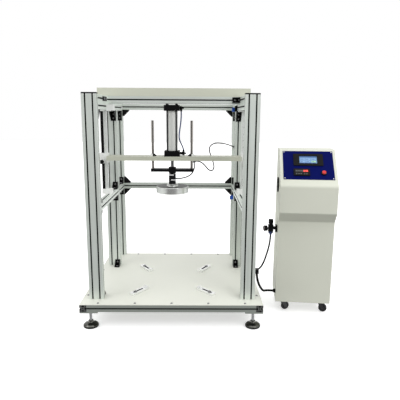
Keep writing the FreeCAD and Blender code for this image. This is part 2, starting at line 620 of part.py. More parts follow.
REACH_U, REACH_L = 9.0, 23.0
FZ_U = ZC1 + 17
FZ_L = ZT + 17
f_up = fitting("upper", FZ_U, REACH_U, False)
f_lo = fitting("lower", FZ_L, REACH_L, True)
clip = box("beam_clip", 16, 20, 16, 114, 1, bz - 16)
node("beam_fittings", group("beam_fittings_group", [f_up, f_lo, clip]))

# ---------------------------------------------------------------- ram
ZP = ZC1 - 26
pis = cyl("piston_blank", 62.9, 24, HX, 0, ZP)
pis_g1 = cut("piston_cut", pis, [cyl("piston_bore", 12, 30, HX, 0, ZP - 2)])
node("piston", pis_g1)
HUB0, HUB1 = 826.0, 866.0
YZ0 = 838.0
rod = cyl("rod_main", 19.9, ZP - (HUB0 + 14), HX, 0, HUB0 + 14)
rod_t = cyl("rod_tip", 11.98, 22, HX, 0, ZP)
node("piston_rod", fuse("rod_fuse", [rod, rod_t]))
g_rod = revolve("guide_rod", [(0, 0, 0), (GR, 0, 0), (GR, D["GuideRodLength"] - 2, 0), (GR - 2, D["GuideRodLength"], 0), (0, D["GuideRodLength"], 0)])
node("guide_rods", copies("guide_rods_set", [(g_rod, pl(HX + s * GP, 0, YZ0)) for s in (-1, 1)]))
yk_l = D["YokeLength"]
yk_w = D["YokeDepth"] / 2
yk = pad("yoke_blank", rounded([(-yk_l / 2, -yk_w, 6), (yk_l / 2, -yk_w, 6), (yk_l / 2, yk_w, 6), (-yk_l / 2, yk_w, 6)])
         + [circle(0, 0, 23.0), circle(-GP, 0, GR), circle(GP, 0, GR)], "YokeThick", pl(HX, 0, YZ0))
hub = revolve("hub", [(0, HUB0 - bz, 0), (20, HUB0 - bz, 2), (22.95, HUB0 - bz + 4, 0), (22.95, HUB1 - bz, 2), (9.95, HUB1 - bz, 0),
                      (9.95, HUB0 + 14 - bz, 0), (0, HUB0 + 14 - bz, 0)], pl(HX, 0, bz))
node("yoke_bar", group("yoke_group", [yk, hub]))
# S-shaped load cell, two cuts from opposite sides
CW, CHt, CD = D["CellWidth"], D["CellHeight"], D["CellDepth"]
LZ = HUB0 - 3 - CHt
lc = pad("cell_blank", rounded([(-CW / 2, 0, 2), (CW / 2, 0, 2), (CW / 2, CHt, 2), (-CW / 2, CHt, 2)]), "CellDepth",
         Placement(V(HX, CD / 2, LZ), Rotation(V(1, 0, 0), 90)))
s1 = box("cell_cut_a", CW - 10, CD + 4, 6, HX - CW / 2 - 2, -CD / 2 - 2, LZ + 51)
s2 = box("cell_cut_b", CW - 10, CD + 4, 6, HX + 12 - CW / 2, -CD / 2 - 2, LZ + 20)
s3 = box("cell_groove", CW + 4, 3, 2, HX - CW / 2 - 2, -CD / 2 - 1, LZ + 39)
st1 = cyl("cell_stud", 12, 3.0, HX, 0, LZ + CHt)
cell = cut("cell", lc, [s1, s2, s3])
node("load_cell", fuse("cell_fuse", [cell, st1, cyl("cell_gland", 9, 9, HX + CW / 2 - 1, 0, LZ + 32, ROT_X)]))
ZD = 706.0
dd, dth, bod = D["DiscDiameter"] / 2, D["DiscThick"], D["BossDiameter"] / 2
disc = revolve("disc", [(0, 0, 0), (dd - 2, 0, 1.5), (dd, 2, 0), (dd, dth - 2, 1), (dd - 2, dth, 0), (bod + 1, dth, 1), (bod, dth + 5, 0), (bod, LZ - ZD - 2, 0), (bod - 2, LZ - ZD, 0), (0, LZ - ZD, 0)], pl(HX, 0, ZD))
node("impact_disc", disc)

# ---------------------------------------------------------------- specimen clamps
CL, CWd, CT = D["ClampLength"], D["ClampWidth"], D["ClampThick"]
for k, (o, i_) in CLAMPS.items():
    ang = math.degrees(math.atan2(clamp_dirs[k][1], clamp_dirs[k][0]))
    bar_g = rounded([(0, -CWd / 2, 9), (CL, -CWd / 2, 1.5), (CL, CWd / 2, 1.5), (0, CWd / 2, 9)])
    slot_g = rounded([(18, -6.5, 6.4), (100, -6.5, 6.4), (100, 6.5, 6.4), (18, 6.5, 6.4)])
    b = pad("clamp_" + k + "_bar", bar_g + slot_g, "ClampThick")
    toe = box("clamp_" + k + "_toe", 6, CWd, 20, CL - 6, -CWd / 2, 0)
    f = fuse("clamp_" + k + "_fuse", [b, toe])
    f.Placement = Placement(V(o[0], o[1], DT + 0.3), Rotation(V(0, 0, 1), ang))
    node("specimen_clamp_" + k, f)

# ---------------------------------------------------------------- cabinet
CBW, CBD, cwall = D["CabinetWidth"], D["CabinetDepth"], D["CabinetWall"]
CROT = Rotation(V(0, 0, 1), -6.0)
CORG = V(617.4, -229.7, 0)
CAB = Placement(CORG, CROT)


def cabp(place):
    return CAB.multiply(place)


def cab_pt(u, v, z):
    return CAB.multVec(V(u, v, z))


SIDE = [(0, 75, 3), (0, 577, 14), (-50, 636, 14), (-50, 793, 22), (130, 988, 16), (CBD, 988, 4), (CBD, 75, 3)]
SIDE_IN = [(2, 77, 2), (2, 577.8, 12), (-48, 636.8, 12), (-48, 792.2, 20), (130.9, 986, 14), (CBD - 2, 986, 2), (CBD - 2, 77, 2)]
# the side outline is drawn on YZ: sketch x runs back, sketch y runs up
cab_o = pad("cabinet_outer", rounded(SIDE), "CabinetWidth", None, "YZ_Plane")
cab_i = pad("cabinet_inner", rounded(SIDE_IN), CBW - 2 * cwall, pl(cwall, 0, 0), "YZ_Plane")
SL0, SL1 = V(0, -50, 793), V(0, 130, 988)
slope = math.degrees(math.atan2(195, 180))
SLROT = Rotation(V(1, 0, 0), slope)          # local x across, local y up the slope, local z out of it
sl_len = (SL1 - SL0).Length
sy0 = (sl_len - D["PanelHeight"]) / 2 + 15
PW, PH = D["PanelWidth"], D["PanelHeight"]
PORG = SL0 + SLROT.multVec(V((CBW - PW) / 2, sy0, 0))
PLACE = Placement(PORG, SLROT)
win = box("panel_window", PW - 36, PH - 36, 20)
win.Placement = PLACE.multiply(pl(18, 18, -10))
door_open = box("door_opening", D["DoorWidth"] - 16, 20, D["DoorHeight"] - 16, (CBW - D["DoorWidth"]) / 2 + 8, CBD - 10, 104)
FZ, FV = 778.0, 102.0
fan_hole = cyl("fan_hole", 74, 12, -5, FV, FZ, ROT_X)
HCV, HCZ = 30.0, 133.0
gl1 = cyl("gland_hole", 16.4, 12, -5, HCV, HCZ, ROT_X)
vents = [box("vent_%d" % k, 12, 120, 6, CBW - 8, 70, 150 + 16 * k) for k in range(6)]
cast_pos = [(48.0, 62.0), (274.0, 62.0), (48.0, 206.0), (274.0, 206.0)]
cholds = [cyl("castor_hole_%d" % k, 10.1, 20, u, v, 66) for k, (u, v) in enumerate(cast_pos)]
HGU, HGV = (CBW + D["DoorWidth"]) / 2 + 4.5, CBD + 5.2
SEAM = 569.0          # the console part stands on the lower part; the joint is just under the fold
above = box("above_seam", CBW + 40, CBD + 120, 500, -20, -80, SEAM)
below = box("below_seam", CBW + 40, CBD + 120, SEAM, -20, -80, 0)
low_cut = cut("cabinet_low_cut", cab_o, [cab_i, door_open, gl1, above] + vents + cholds)
top_cut = cut("cabinet_top_cut", cab_o, [cab_i, win, door_open, fan_hole, below])
halves = []
for k, (z, base) in enumerate(((200.0, low_cut), (740.0, top_cut))):
    kn_ = cyl("shell_knuckle_%d" % k, 9, 25, HGU, HGV, z)
    arm_ = box("shell_knuckle_arm_%d" % k, 5, 5, 25, HGU - 1, CBD, z)
    pin_ = cyl("hinge_pin_%d" % k, 4, 52, HGU, HGV, z)
    halves.append(fuse("cabinet_half_%d" % k, [base, kn_, arm_, pin_]))
shell = group("cabinet_halves", halves)
shell.Placement = CAB
node("cabinet_shell", shell)

# rear door: flat sheet with a turned edge, knuckles on the right, lock on the left
DW, DH = D["DoorWidth"], D["DoorHeight"]
door_o = box("door_outer", "DoorWidth", 14, "DoorHeight", (CBW - DW) / 2, CBD + 0.4, 96)
door_i = box("door_hollow", DW - 4, 14, DH - 4, (CBW - DW) / 2 + 2, CBD - 1.6, 98)
lock = cyl("door_lock", 22, 5, (CBW - DW) / 2 + 24, CBD + 14.0, 530, ROT_Y)
lock_in = cyl("door_lock_barrel", 16, 16, (CBW - DW) / 2 + 24, CBD - 1.0, 530, ROT_Y)
dk = []
for k, z in enumerate((225.3, 765.3)):
    dk_o = cyl("door_knuckle_%d" % k, 9, 25, HGU, HGV, z)
    dk_a = box("door_knuckle_arm_%d" % k, 4, 5, 25, HGU - 6, HGV - 2.5, z)
    dk_h = cyl("door_knuckle_bore_%d" % k, 4.1, 40, HGU, HGV, z - 5)
    dk.append(cut("door_knuckle_cut_%d" % k, fuse("door_knuckle_blank_%d" % k, [dk_o, dk_a]), [dk_h]))
door_f = fuse("door_fuse", [cut("door_tray", door_o, [door_i]), lock, lock_in] + dk)
door_f.Placement = CAB
node("rear_door", door_f)

# control panel sheet and what sits in it
PHOLE_HMI = (60.0, 96.0, 170.0, 84.0)      # x, y, width, height of the bezel on the panel
PHOLE_CNT = (58.0, 24.0, 92.0, 48.0)
BTN = (228.5, 46.0)
panel = pad("control_panel_body", rounded([(0, 0, 2), (PW, 0, 2), (PW, PH, 2), (0, PH, 2)])
            + lines([(66, 102), (224, 102), (224, 174), (66, 174)])
            + lines([(61, 27), (147, 27), (147, 69), (61, 69)])
            + [circle(BTN[0], BTN[1], 11.3)], "PanelThick")
panel.Placement = cabp(PLACE)
node("control_panel", panel)
hx, hy, hw, hh = PHOLE_HMI
bez = pad("hmi_bezel", rounded([(hx, hy, 4), (hx + hw, hy, 4), (hx + hw, hy + hh, 4), (hx, hy + hh, 4)])
          + lines([(hx + 34, hy + 15), (hx + 136, hy + 15), (hx + 136, hy + 69), (hx + 34, hy + 69)]), 5, pl(0, 0, 2))
bod_ = box("hmi_body", 157, 71, 38, 66.5, 102.5, -36)
hmi = fuse("hmi_fuse", [bez, bod_])
hmi.Placement = cabp(PLACE)
node("hmi_housing", hmi)
scrn = box("screen_glass", 101.6, 53.6, 1.8, hx + 34.2, hy + 15.2, 2)
scrn.Placement = cabp(PLACE.multiply(pl(hx + 34.2, hy + 15.2, 2)))
node("hmi_screen", scrn)
qx, qy, qw, qh = PHOLE_CNT
cbez = pad("counter_bezel", rounded([(qx, qy, 2), (qx + qw, qy, 2), (qx + qw, qy + qh, 2), (qx, qy + qh, 2)])
           + lines([(qx + 10, qy + 24), (qx + qw - 10, qy + 24), (qx + qw - 10, qy + qh - 7), (qx + 10, qy + qh - 7)]), 7, pl(0, 0, 2))
cbody = box("counter_body", 85, 41, 60, 61.5, 27.5, -58)
cnt = fuse("counter_fuse", [cbez, cbody])
cnt.Placement = cabp(PLACE)
node("counter_housing", cnt)
# push button: cap and plunger slide in a fixed collar that is part of the electronics group
btn = fuse("button_fuse", [cyl("button_cap", 22, 9, BTN[0], BTN[1], 5.2), cyl("button_plunger", 12, 24, BTN[0], BTN[1], -18)])
btn.Placement = cabp(PLACE)
node("stop_button", btn)
col = pad("button_collar", [circle(BTN[0], BTN[1], 15), circle(BTN[0], BTN[1], 11.3)], 5, pl(0, 0, 2))
blk = pad("button_block", rounded([(BTN[0] - 15, BTN[1] - 15, 2), (BTN[0] + 15, BTN[1] - 15, 2), (BTN[0] + 15, BTN[1] + 15, 2), (BTN[0] - 15, BTN[1] + 15, 2)])
          + [circle(BTN[0], BTN[1], 6.05)], 30, pl(0, 0, -30))
btn_fix = group("button_fixed_local", [col, blk])
btn_fix.Placement = cabp(PLACE)

# electronics on a mounting plate behind the door: controller, supply, relay, air valve
mplate = box("mounting_plate", 280, 2.5, 520, 21, 150, 110)
plc = box("controller", 130, 62, 90, 40, 150 - 62.2, 470)
psu = box("power_supply", 98, 40, 110, 185, 150 - 40.2, 460)
rail1 = box("din_rail", 260, 7, 35, 31, 150 - 7.2, 390)
relays = [box("relay_%d" % k, 22, 50, 70, 40 + 26 * k, 150 - 57.4, 372) for k in range(4)]
terms = box("terminal_strip", 120, 40, 48, 160, 150 - 47.4, 384)
valve = box("air_valve", 120, 38, 30, 60, 150 - 38.2, 250)
coil = box("valve_coil", 40, 30, 34, 182, 150 - 34.2, 248)
elec = group("electronics_local", [mplate, plc, psu, rail1] + relays + [terms, valve, coil])
elec.Placement = CAB
node("control_electronics", group("electronics_all", [elec, btn_fix]))

# fan: square frame inside, round guard outside, rotor between
FS = D["FanSize"]
frm_o = box("fan_frame_outer", 20, "FanSize", "FanSize", 2.2, FV - FS / 2, FZ - FS / 2)
frm_i = cyl("fan_frame_bore", 75, 40, -5, FV, FZ, ROT_X)
frm = cut("fan_frame", frm_o, [frm_i])
ring1 = pad("guard_ring", [circle(0, 0, 44), circle(0, 0, 33)], 6.5, Placement(V(-6.7, FV, FZ), ROT_X))
ring2 = pad("guard_mid_ring", [circle(0, 0, 24.5), circle(0, 0, 21.5)], 3, Placement(V(-6.7, FV, FZ), ROT_X))
hubg = cyl("guard_hub", 26, 3, -6.7, FV, FZ, ROT_X)
sp1 = box("guard_spoke_a", 3, 74, 3, -6.7, FV - 37, FZ - 1.5)
sp2 = box("guard_spoke_b", 3, 3, 74, -6.7, FV - 1.5, FZ - 37)
guard = fuse("guard_fuse", [ring1, ring2, hubg, sp1, sp2])
motor = cyl("fan_motor_plate", 30, 4, 18.4, FV, FZ, ROT_X)
arm = box("fan_motor_arm", 2, FS - 4, 6, 20.2, FV - FS / 2 + 2, FZ - 3)
frm2 = cut("fan_frame_bored", fuse("fan_frame_fuse", [frm, motor, arm]), [cyl("fan_shaft_hole", 4.1, 20, 10, FV, FZ, ROT_X)])
fan_fixed = group("fan_fixed", [guard, frm2])
fan_fixed.Placement = CAB
node("fan_guard", fan_fixed)
rot_parts = [cyl("rotor_hub", 30, 14, 3.5, FV, FZ, ROT_X), cyl("rotor_shaft", 4, 6, 17, FV, FZ, ROT_X)]
for k in range(7):
    a = 360.0 / 7 * k
    bl_ = box("rotor_blade_%d" % k, 1.6, 22.5, 13)
    bl_.Placement = Placement(V(10, FV, FZ), Rotation(V(1, 0, 0), a)).multiply(Placement(V(-4, 13, -3), Rotation(V(0, 1, 0), 35)))
    rot_parts.append(bl_)
rotor = fuse("rotor_fuse", rot_parts)
rotor.Placement = CAB
node("fan_rotor", rotor)

# air regulator on the cabinet's left side: bracket, body, bowl, gauge; the knob turns
RU, RV, RZ = -38.0, 84.0, 500.0
rg_b = pad("reg_body", rounded([(-16, -16, 5), (16, -16, 5), (16, 16, 5), (-16, 16, 5)]), 40, pl(RU, RV, RZ - 6))
rg_bowl = revolve("reg_bowl", [(0, 0, 0), (6, 0, 0), (7, 8, 0), (14, 10, 4), (14.5, 24, 0), (0, 24, 0)], pl(RU, RV, RZ - 30))
rg_neck = cyl("reg_neck", 18, 6, RU, RV, RZ + 34)
rg_arm = box("reg_bracket_arm", 24, 20, 16, -24.2, RV - 10, RZ + 6)
rg_plate = box("reg_bracket_plate", 10, 34, 40, -10.2, RV - 17, RZ - 8)
rg_port = cyl("reg_port", 13, 10, RU + 6, RV + 15, RZ + 14, ROT_Y)
rg_all = fuse("reg_fuse", [rg_b, rg_bowl, rg_neck, rg_arm, rg_plate, rg_port])
gau = revolve("gauge", [(0, 0, 0), (4, 0, 0), (4, 9, 0), (17, 9, 2), (17, 24, 2), (0, 24, 0)],
              Placement(V(RU - 15, RV, RZ + 12), Rotation(V(0, 0, 1), V(-0.94, -0.34, 0))))
reg_group = group("reg_group", [fuse("reg_gauge_fuse", [rg_all, gau])])
reg_group.Placement = CAB
node("regulator_body", reg_group)
kn = []
for k in range(16):
    a = math.radians(22.5 * k)
    r = 14.5 if k % 2 == 0 else 13.6
    kn.append((r * math.cos(a), r * math.sin(a), 0.6))
rk_sk = pad("reg_knob_grip", rounded(kn), 26, pl(RU, RV, RZ + 41))
rk = fuse("reg_knob_fuse", [rk_sk, cyl("reg_knob_collar", 21, 1.4, RU, RV, RZ + 40.4)])
rk.Placement = CAB
node("regulator_knob", rk)

# castors: plate and fork swivel under the cabinet, wheel on its axle
WD, WW = D["WheelDiameter"], D["WheelWidth"]
cast_names = ["front_left", "front_right", "rear_left", "rear_right"]
cast_ang = [25.0, -8.0, 70.0, 150.0]
TRAIL = 19.0
cast_info = {}
for nme, (u, v), a in zip(cast_names, cast_pos, cast_ang):
    # stem and fork, in a frame whose x is the trail direction
    tag = "castor_" + nme
    crown = revolve(tag + "_crown", [(0, 56.5, 0), (17, 56.5, 2), (20, 62, 0), (20, 68, 2), (15, 70, 0), (9, 70, 0), (9, 74.7, 0), (5, 74.7, 0),
                                     (5, 77.3, 0), (9, 77.3, 0), (9, 82, 1), (0, 82, 0)])
    chk = []
    for s in (-1, 1):
        g = rounded([(-13, 0, 3), (TRAIL - 9, -37.5, 0.5), (TRAIL + 2, -42, 3), (TRAIL + 9, -34, 4), (14, 0, 4)])
        c_ = pad(tag + "_cheek_%s" % ("a" if s < 0 else "b"), g, 2.5,
                 Placement(V(0, s * 12.2 + 1.25, 58.5), Rotation(V(1, 0, 0), 90)))
        chk.append(c_)
    top = box(tag + "_top", 30, 26.9, 3, -14, -13.45, 56.5)
    axle = cyl(tag + "_axle", 7.9, 30, TRAIL, 15, WD / 2, Rotation(V(1, 0, 0), 90))
    fk_ = fuse(tag + "_fork_fuse", [crown, top, axle] + chk)
    place = cabp(Placement(V(u, v, 0), Rotation(V(0, 0, 1), a)))
    fk_.Placement = place
    node("castor_fork_" + nme, fk_)
    wh = revolve(tag + "_wheel", [(4.0, -7, 0), (9, -7, 0), (10, -WW / 2, 0), (WD / 2 - 2.5, -WW / 2, 0), (WD / 2, -WW / 2 + 3, 2), (WD / 2, WW / 2 - 3, 2),
                                  (WD / 2 - 2.5, WW / 2, 0), (10, WW / 2, 0), (9, 7, 0), (4.0, 7, 0)])
    wh.Placement = place.multiply(Placement(V(TRAIL, 0, WD / 2), Rotation(V(1, 0, 0), 90)))
    node("castor_wheel_" + nme, wh)
    cast_info[nme] = (place.multVec(V(0, 0, 0)), place.multVec(V(TRAIL, 0, WD / 2)), place.Rotation.multVec(V(0, 1, 0)))

# cable gland in the cabinet side, and clips on the right front and rear posts
gland = revolve("gland_body", [(0, -5, 0), (8.1, -5, 0), (8.1, 0, 0), (12.5, 0, 0), (12.5, 7, 1), (8.5, 16, 2), (0, 16, 0)],
                cabp(Placement(V(0, HCV, HCZ), Rotation(V(0, 1, 0), -90))))
PCX, PCZ = 470.0, 316.0
pclip = box("post_clip", 20, 30, 24, PCX, FY - 17, PCZ - 12)
rclip = box("rear_clip", 14, 14, 14, RX - 7, RY - M / 2 - 14, 954)
node("cable_glands", group("glands_group", [gland, pclip, rclip]))


# ---------------------------------------------------------------- cords
def route_wire(pts, name, dia):
    """Straight runs joined by tangent arcs; each arc is as large as its two runs allow."""
    P = [V(*p) for p in pts]
    edges = []
    last = P[0]
    radii = []
    for i in range(1, len(P) - 1):
        a, b = P[i - 1] - P[i], P[i + 1] - P[i]
        la, lb = a.Length, b.Length
        a.normalize()
        b.normalize()
        turn = math.pi - a.getAngle(b)
        t = 0.45 * min(la, lb)
        r = t / math.tan(turn / 2)
        radii.append(r)
        s, e = P[i] + a * t, P[i] + b * t
        m = (a + b).normalize()
        mid = P[i] + m * (r / math.cos(turn / 2) - r)
        if (s - last).Length > 1e-4:
            edges.append(Part.LineSegment(last, s).toShape())
        edges.append(Part.Arc(s, mid, e).toShape())
        last = e
    edges.append(Part.LineSegment(last, P[-1]).toShape())
    w = Part.Wire(edges)
    print("cord %s: length %.1f, radii %s" % (name, w.Length, ["%.0f" % r for r in radii]))
    return w


def cord(label, pts, dia_name):
    r = D[dia_name] / 2
    w = route_wire(pts, label, D[dia_name])
    d0 = (V(*pts[1]) - V(*pts[0])).normalize()
    c = Part.Wire(Part.Circle(V(*pts[0]), d0, r).toShape())
    s = w.makePipeShell([c], True, True)
    want = math.pi * r * r * w.Length
    print("   volume %.0f, section times length %.0f" % (s.Volume, want))
    if abs(s.Volume - want) > 0.01 * want:
        raise SystemExit("cord volume off: " + label)
    o = doc.addObject("Part::Feature", label + "_tube")
    o.Shape = s
    node(label, o)


# ram air tube: from the upper speed controller down past the barrel to the lower one
cord("ram_air_tube", [(41, 0, FZ_U - 20), (41.3, 0, 1182), (40, -3, 1154), (37, -9, 1125), (33, -15, 1097), (29.5, -20, 1072),
                      (28.5, -21.5, 1048), (33, -18, 1027), (42, -10.5, 1008), (50.5, -4, 990), (55, 0, FZ_L + 20)], "AirTube")
# load cell cable, first length: from the cell's side up to the clip under the crossbeam
cord("load_cell_cable", [(14, 0, 793), (33, 0, 793), (55, 2, 797), (77, 6, 803), (98, 9, 814), (114, 11, 833),
                         (122.5, 12, 857), (122, 12, 878), (121, 11, 893)], "CellCable")
# second length: hangs in a loop under the crossbeam, rises behind it, runs to the rear post
cord("load_cell_cable_rear", [(130, 11, 901), (146, 11, 901), (166, 16, 894), (185, 22, 877), (201, 30, 857), (216, 39, 841),
                              (236, 50, 836), (248, 61, 854), (245, 69, 879), (236, 74, 904), (227, 76, 931), (218, 80, 955),
                              (217, 87, 979), (229, 99, 997), (250, 114, 1006), (274, 138, 1007), (298, 172, 1003), (321, 214, 998),
                              (342, 258, 991), (361, 304, 983), (380, 348, 974), (396, 382, 966.5), (407, 407, 961.5), (410, 426, 961)], "CellCable")
# air supply hose: from the regulator down to the clip on the right front post
p0 = cab_pt(RU, RV, RZ - 30)
cord("supply_hose", [(p0.x, p0.y, p0.z), (587.3, -143.5, 440.5), (582, -149, 410), (574, -160, 382), (562, -177, 355), (549, -200, 331),
                     (534, -228, 314), (518, -259, 305), (500, -291, 304), (486, -318, 309), (480, -342, 318)], "SupplyHose")
# signal cable: from the same clip down and across to the gland in the cabinet's side
g0 = cab_pt(-16.0, HCV, HCZ)
cord("signal_cable", [(480, -360, 304), (483, -357, 278), (490, -348, 250), (500, -333, 223), (512, -314, 199), (524, -291, 178),
                      (535, -265, 161), (545, -237, 148), (558, -212, 139.5), (579, -197.3, 134.5), (g0.x, g0.y, g0.z)], "SignalCable")

# ---------------------------------------------------------------- finish
doc.recompute()
# move the whole machine so that the origin is the bottom centre of its box without the cords
CORDS = {"ram_air_tube", "load_cell_cable", "load_cell_cable_rear", "supply_hose", "signal_cable"}
bb_ = None
for k, o in NODES.items():
    if k in CORDS:
        continue
    b = o.Shape.optimalBoundingBox(False, False)
    if bb_ is None:
        bb_ = FreeCAD.BoundBox(b)
    else:
        bb_.add(b)
shift = V(-round((bb_.XMin + bb_.XMax) / 2, 3), -round((bb_.YMin + bb_.YMax) / 2, 3), 0)
print("box before the shift", bb_.XMin, bb_.XMax, bb_.YMin, bb_.YMax, bb_.ZMin, bb_.ZMax, "shift", shift)
for o in NODES.values():
    o.Placement = Placement(shift, Rotation()).multiply(o.Placement)
doc.recompute()
for nme, (a, b, c) in cast_info.items():
    print("castor", nme, "swivel", a + shift, "wheel", b + shift, "axis", c)
print("cabinet u axis", CROT.multVec(V(1, 0, 0)), "v axis", CROT.multVec(V(0, 1, 0)))
print("panel normal", CROT.multVec(SLROT.multVec(V(0, 0, 1))), "button", cabp(PLACE).multVec(V(BTN[0], BTN[1], 0)) + shift)
print("door hinge", cab_pt(HGU, HGV, 0) + shift, "fan", cab_pt(0, FV, FZ) + shift, "knob", cab_pt(RU, RV, RZ) + shift)
for k, (x, y) in clamp_screw_pos.items():
    print("clamp", k, x + shift.x, y + shift.y, "dir", clamp_dirs[k])

bad = []
for o in doc.Objects:
    if any(s in ("Invalid", "Error") for s in o.State):
        bad.append(o.Name + " " + ",".join(o.State))
for k, o in NODES.items():
    s = o.Shape
    if s.isNull() or not s.isValid() or not s.Solids:
        bad.append("shape of " + k)
if bad:
    print("\n".join(bad))
    raise SystemExit("failed objects: %d" % len(bad))
os.makedirs("parts", exist_ok=True)
for k, o in NODES.items():
    o.Shape.exportStep("parts/%s.step" % k)
print(len(NODES), "nodes written")
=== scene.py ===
import bpy
import bmesh
import math
from mathutils import Vector, Matrix


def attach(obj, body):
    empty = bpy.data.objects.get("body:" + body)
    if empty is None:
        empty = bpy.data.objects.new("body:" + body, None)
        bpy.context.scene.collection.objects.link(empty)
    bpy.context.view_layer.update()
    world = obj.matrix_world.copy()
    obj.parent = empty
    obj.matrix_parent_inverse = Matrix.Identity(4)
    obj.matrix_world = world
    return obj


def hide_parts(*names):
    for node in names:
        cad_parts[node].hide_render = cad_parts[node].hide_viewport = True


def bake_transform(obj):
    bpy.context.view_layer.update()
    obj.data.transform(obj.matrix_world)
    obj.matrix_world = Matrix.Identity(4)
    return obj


# Chair seat impact tester: gantry of slotted profile, air ram on an adjustable
# crossbeam, impact disc, and a control cabinet on castors.

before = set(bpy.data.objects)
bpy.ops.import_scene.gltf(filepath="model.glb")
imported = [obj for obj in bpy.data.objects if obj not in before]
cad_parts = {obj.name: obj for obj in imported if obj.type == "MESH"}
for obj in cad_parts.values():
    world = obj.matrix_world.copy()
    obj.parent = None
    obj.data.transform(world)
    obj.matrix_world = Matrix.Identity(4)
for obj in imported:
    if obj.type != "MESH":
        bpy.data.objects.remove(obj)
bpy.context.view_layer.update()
scene = bpy.context.scene

SX, SY = -227.511, -15.0


def P(x, y, z):
    """Point of the gantry's drawing, in millimetres, as metres in the row frame."""
    return Vector(((x + SX) / 1000, (y + SY) / 1000, z / 1000))


# ------------------------------------------------------------------ camera
yaw, pitch, roll = 0.0088, 0.1894, -0.0062
F = Vector((math.sin(yaw) * math.cos(pitch), math.cos(yaw) * math.cos(pitch), -math.sin(pitch)))
right = Vector((math.cos(yaw), -math.sin(yaw), 0))
down = F.cross(right)
r2 = right * math.cos(roll) + down * math.sin(roll)
d2 = down * math.cos(roll) - right * math.sin(roll)
cam_data = bpy.data.cameras.new("camera")
cam_data.sensor_width = 36.0
cam_data.lens = 440.0 * 36.0 / 400.0
cam_data.clip_start, cam_data.clip_end = 0.1, 60
cam = bpy.data.objects.new("camera", cam_data)
scene.collection.objects.link(cam)
cam.matrix_world = Matrix.Translation(P(134.7, -2733.2, 1180.2)) @ Matrix((
    (r2.x, -d2.x, -F.x), (r2.y, -d2.y, -F.y), (r2.z, -d2.z, -F.z))).to_4x4()
scene.camera = cam

# ------------------------------------------------------------------ materials


class Mat:
    """A principled material with a few node helpers."""

    def __init__(self, name, color=(0.5, 0.5, 0.5), rough=0.5, metallic=0.0, spec=0.5, coat=0.0, coat_rough=0.1, ior=1.5):
        self.m = bpy.data.materials.new(name)
        self.m.use_nodes = True
        self.nt = self.m.node_tree
        self.b = self.nt.nodes["Principled BSDF"]
        self.color, self.rough = color, rough
        self.b.inputs["Base Color"].default_value = (*color, 1)
        self.b.inputs["Roughness"].default_value = rough
        self.b.inputs["Metallic"].default_value = metallic
        self.b.inputs["Specular IOR Level"].default_value = spec
        self.b.inputs["Coat Weight"].default_value = coat
        self.b.inputs["Coat Roughness"].default_value = coat_rough
        self.b.inputs["IOR"].default_value = ior
        self.m.diffuse_color = (*color, 1)
        self._tc = None
        self._bump = None

    def node(self, kind, **kw):
        n = self.nt.nodes.new(kind)
        for k, v in kw.items():
            setattr(n, k, v)
        return n

    def link(self, a, b):
        self.nt.links.new(a, b)

    def coords(self):
        if self._tc is None:
            self._tc = self.node("ShaderNodeTexCoord")
        return self._tc.outputs["Object"]

    def mapped(self, scale, loc=(0, 0, 0), rot=(0, 0, 0), src=None):
        mp = self.node("ShaderNodeMapping")
        mp.inputs["Scale"].default_value = scale
        mp.inputs["Location"].default_value = loc
        mp.inputs["Rotation"].default_value = rot
        self.link(src or self.coords(), mp.inputs["Vector"])
        return mp.outputs["Vector"]

    def noise(self, scale=10.0, detail=2.0, rough=0.5, vec=None, dist=0.0):
        n = self.node("ShaderNodeTexNoise")
        n.inputs["Scale"].default_value = scale
        n.inputs["Detail"].default_value = detail
        n.inputs["Roughness"].default_value = rough
        n.inputs["Distortion"].default_value = dist
        self.link(vec or self.coords(), n.inputs["Vector"])
        return n.outputs["Fac"]

    def math(self, op, a, b=None, clamp=False):
        n = self.node("ShaderNodeMath", operation=op, use_clamp=clamp)
        for i, v in enumerate((a, b)):
            if v is None:
                continue
            if isinstance(v, (int, float)):
                n.inputs[i].default_value = v
            else:
                self.link(v, n.inputs[i])
        return n.outputs[0]

    def remap(self, v, a, b, c, d):
        n = self.node("ShaderNodeMapRange")
        for k, x in zip(("From Min", "From Max", "To Min", "To Max"), (a, b, c, d)):
            n.inputs[k].default_value = x
        self.link(v, n.inputs["Value"])
        return n.outputs["Result"]

    def mix(self, fac, a, b):
        n = self.node("ShaderNodeMix", data_type="RGBA")
        ins = [i for i in n.inputs if i.enabled]
        for v, k in ((fac, 0), (a, 6), (b, 7)):
            s = n.inputs[k]
            if isinstance(v, (int, float)):
                s.default_value = v
            elif isinstance(v, tuple):
                s.default_value = (*v, 1) if len(v) == 3 else v
            else:
                self.link(v, s)
        return n.outputs[2]

    def base(self, out):
        self.link(out, self.b.inputs["Base Color"])

    def roughness(self, out):
        self.link(out, self.b.inputs["Roughness"])

    def bump(self, height, strength=0.1, dist=0.001):
        n = self.node("ShaderNodeBump")
        n.inputs["Strength"].default_value = strength
        n.inputs["Distance"].default_value = dist
        self.link(height, n.inputs["Height"])
        if self._bump is not None:
            self.link(self._bump.outputs["Normal"], n.inputs["Normal"])
        self._bump = n
        self.link(n.outputs["Normal"], self.b.inputs["Normal"])

    def wear(self, color, scale=40.0, amount=0.5, low=0.62, high=0.75, vec=None):
        """Sparse marks: a mask that rises where a noise runs high."""
        f = self.remap(self.noise(scale, 4, 0.6, vec), low, high, 0, amount)
        return f


def shade(c, k):
    return tuple(max(0.0, min(1.0, x * k)) for x in c)


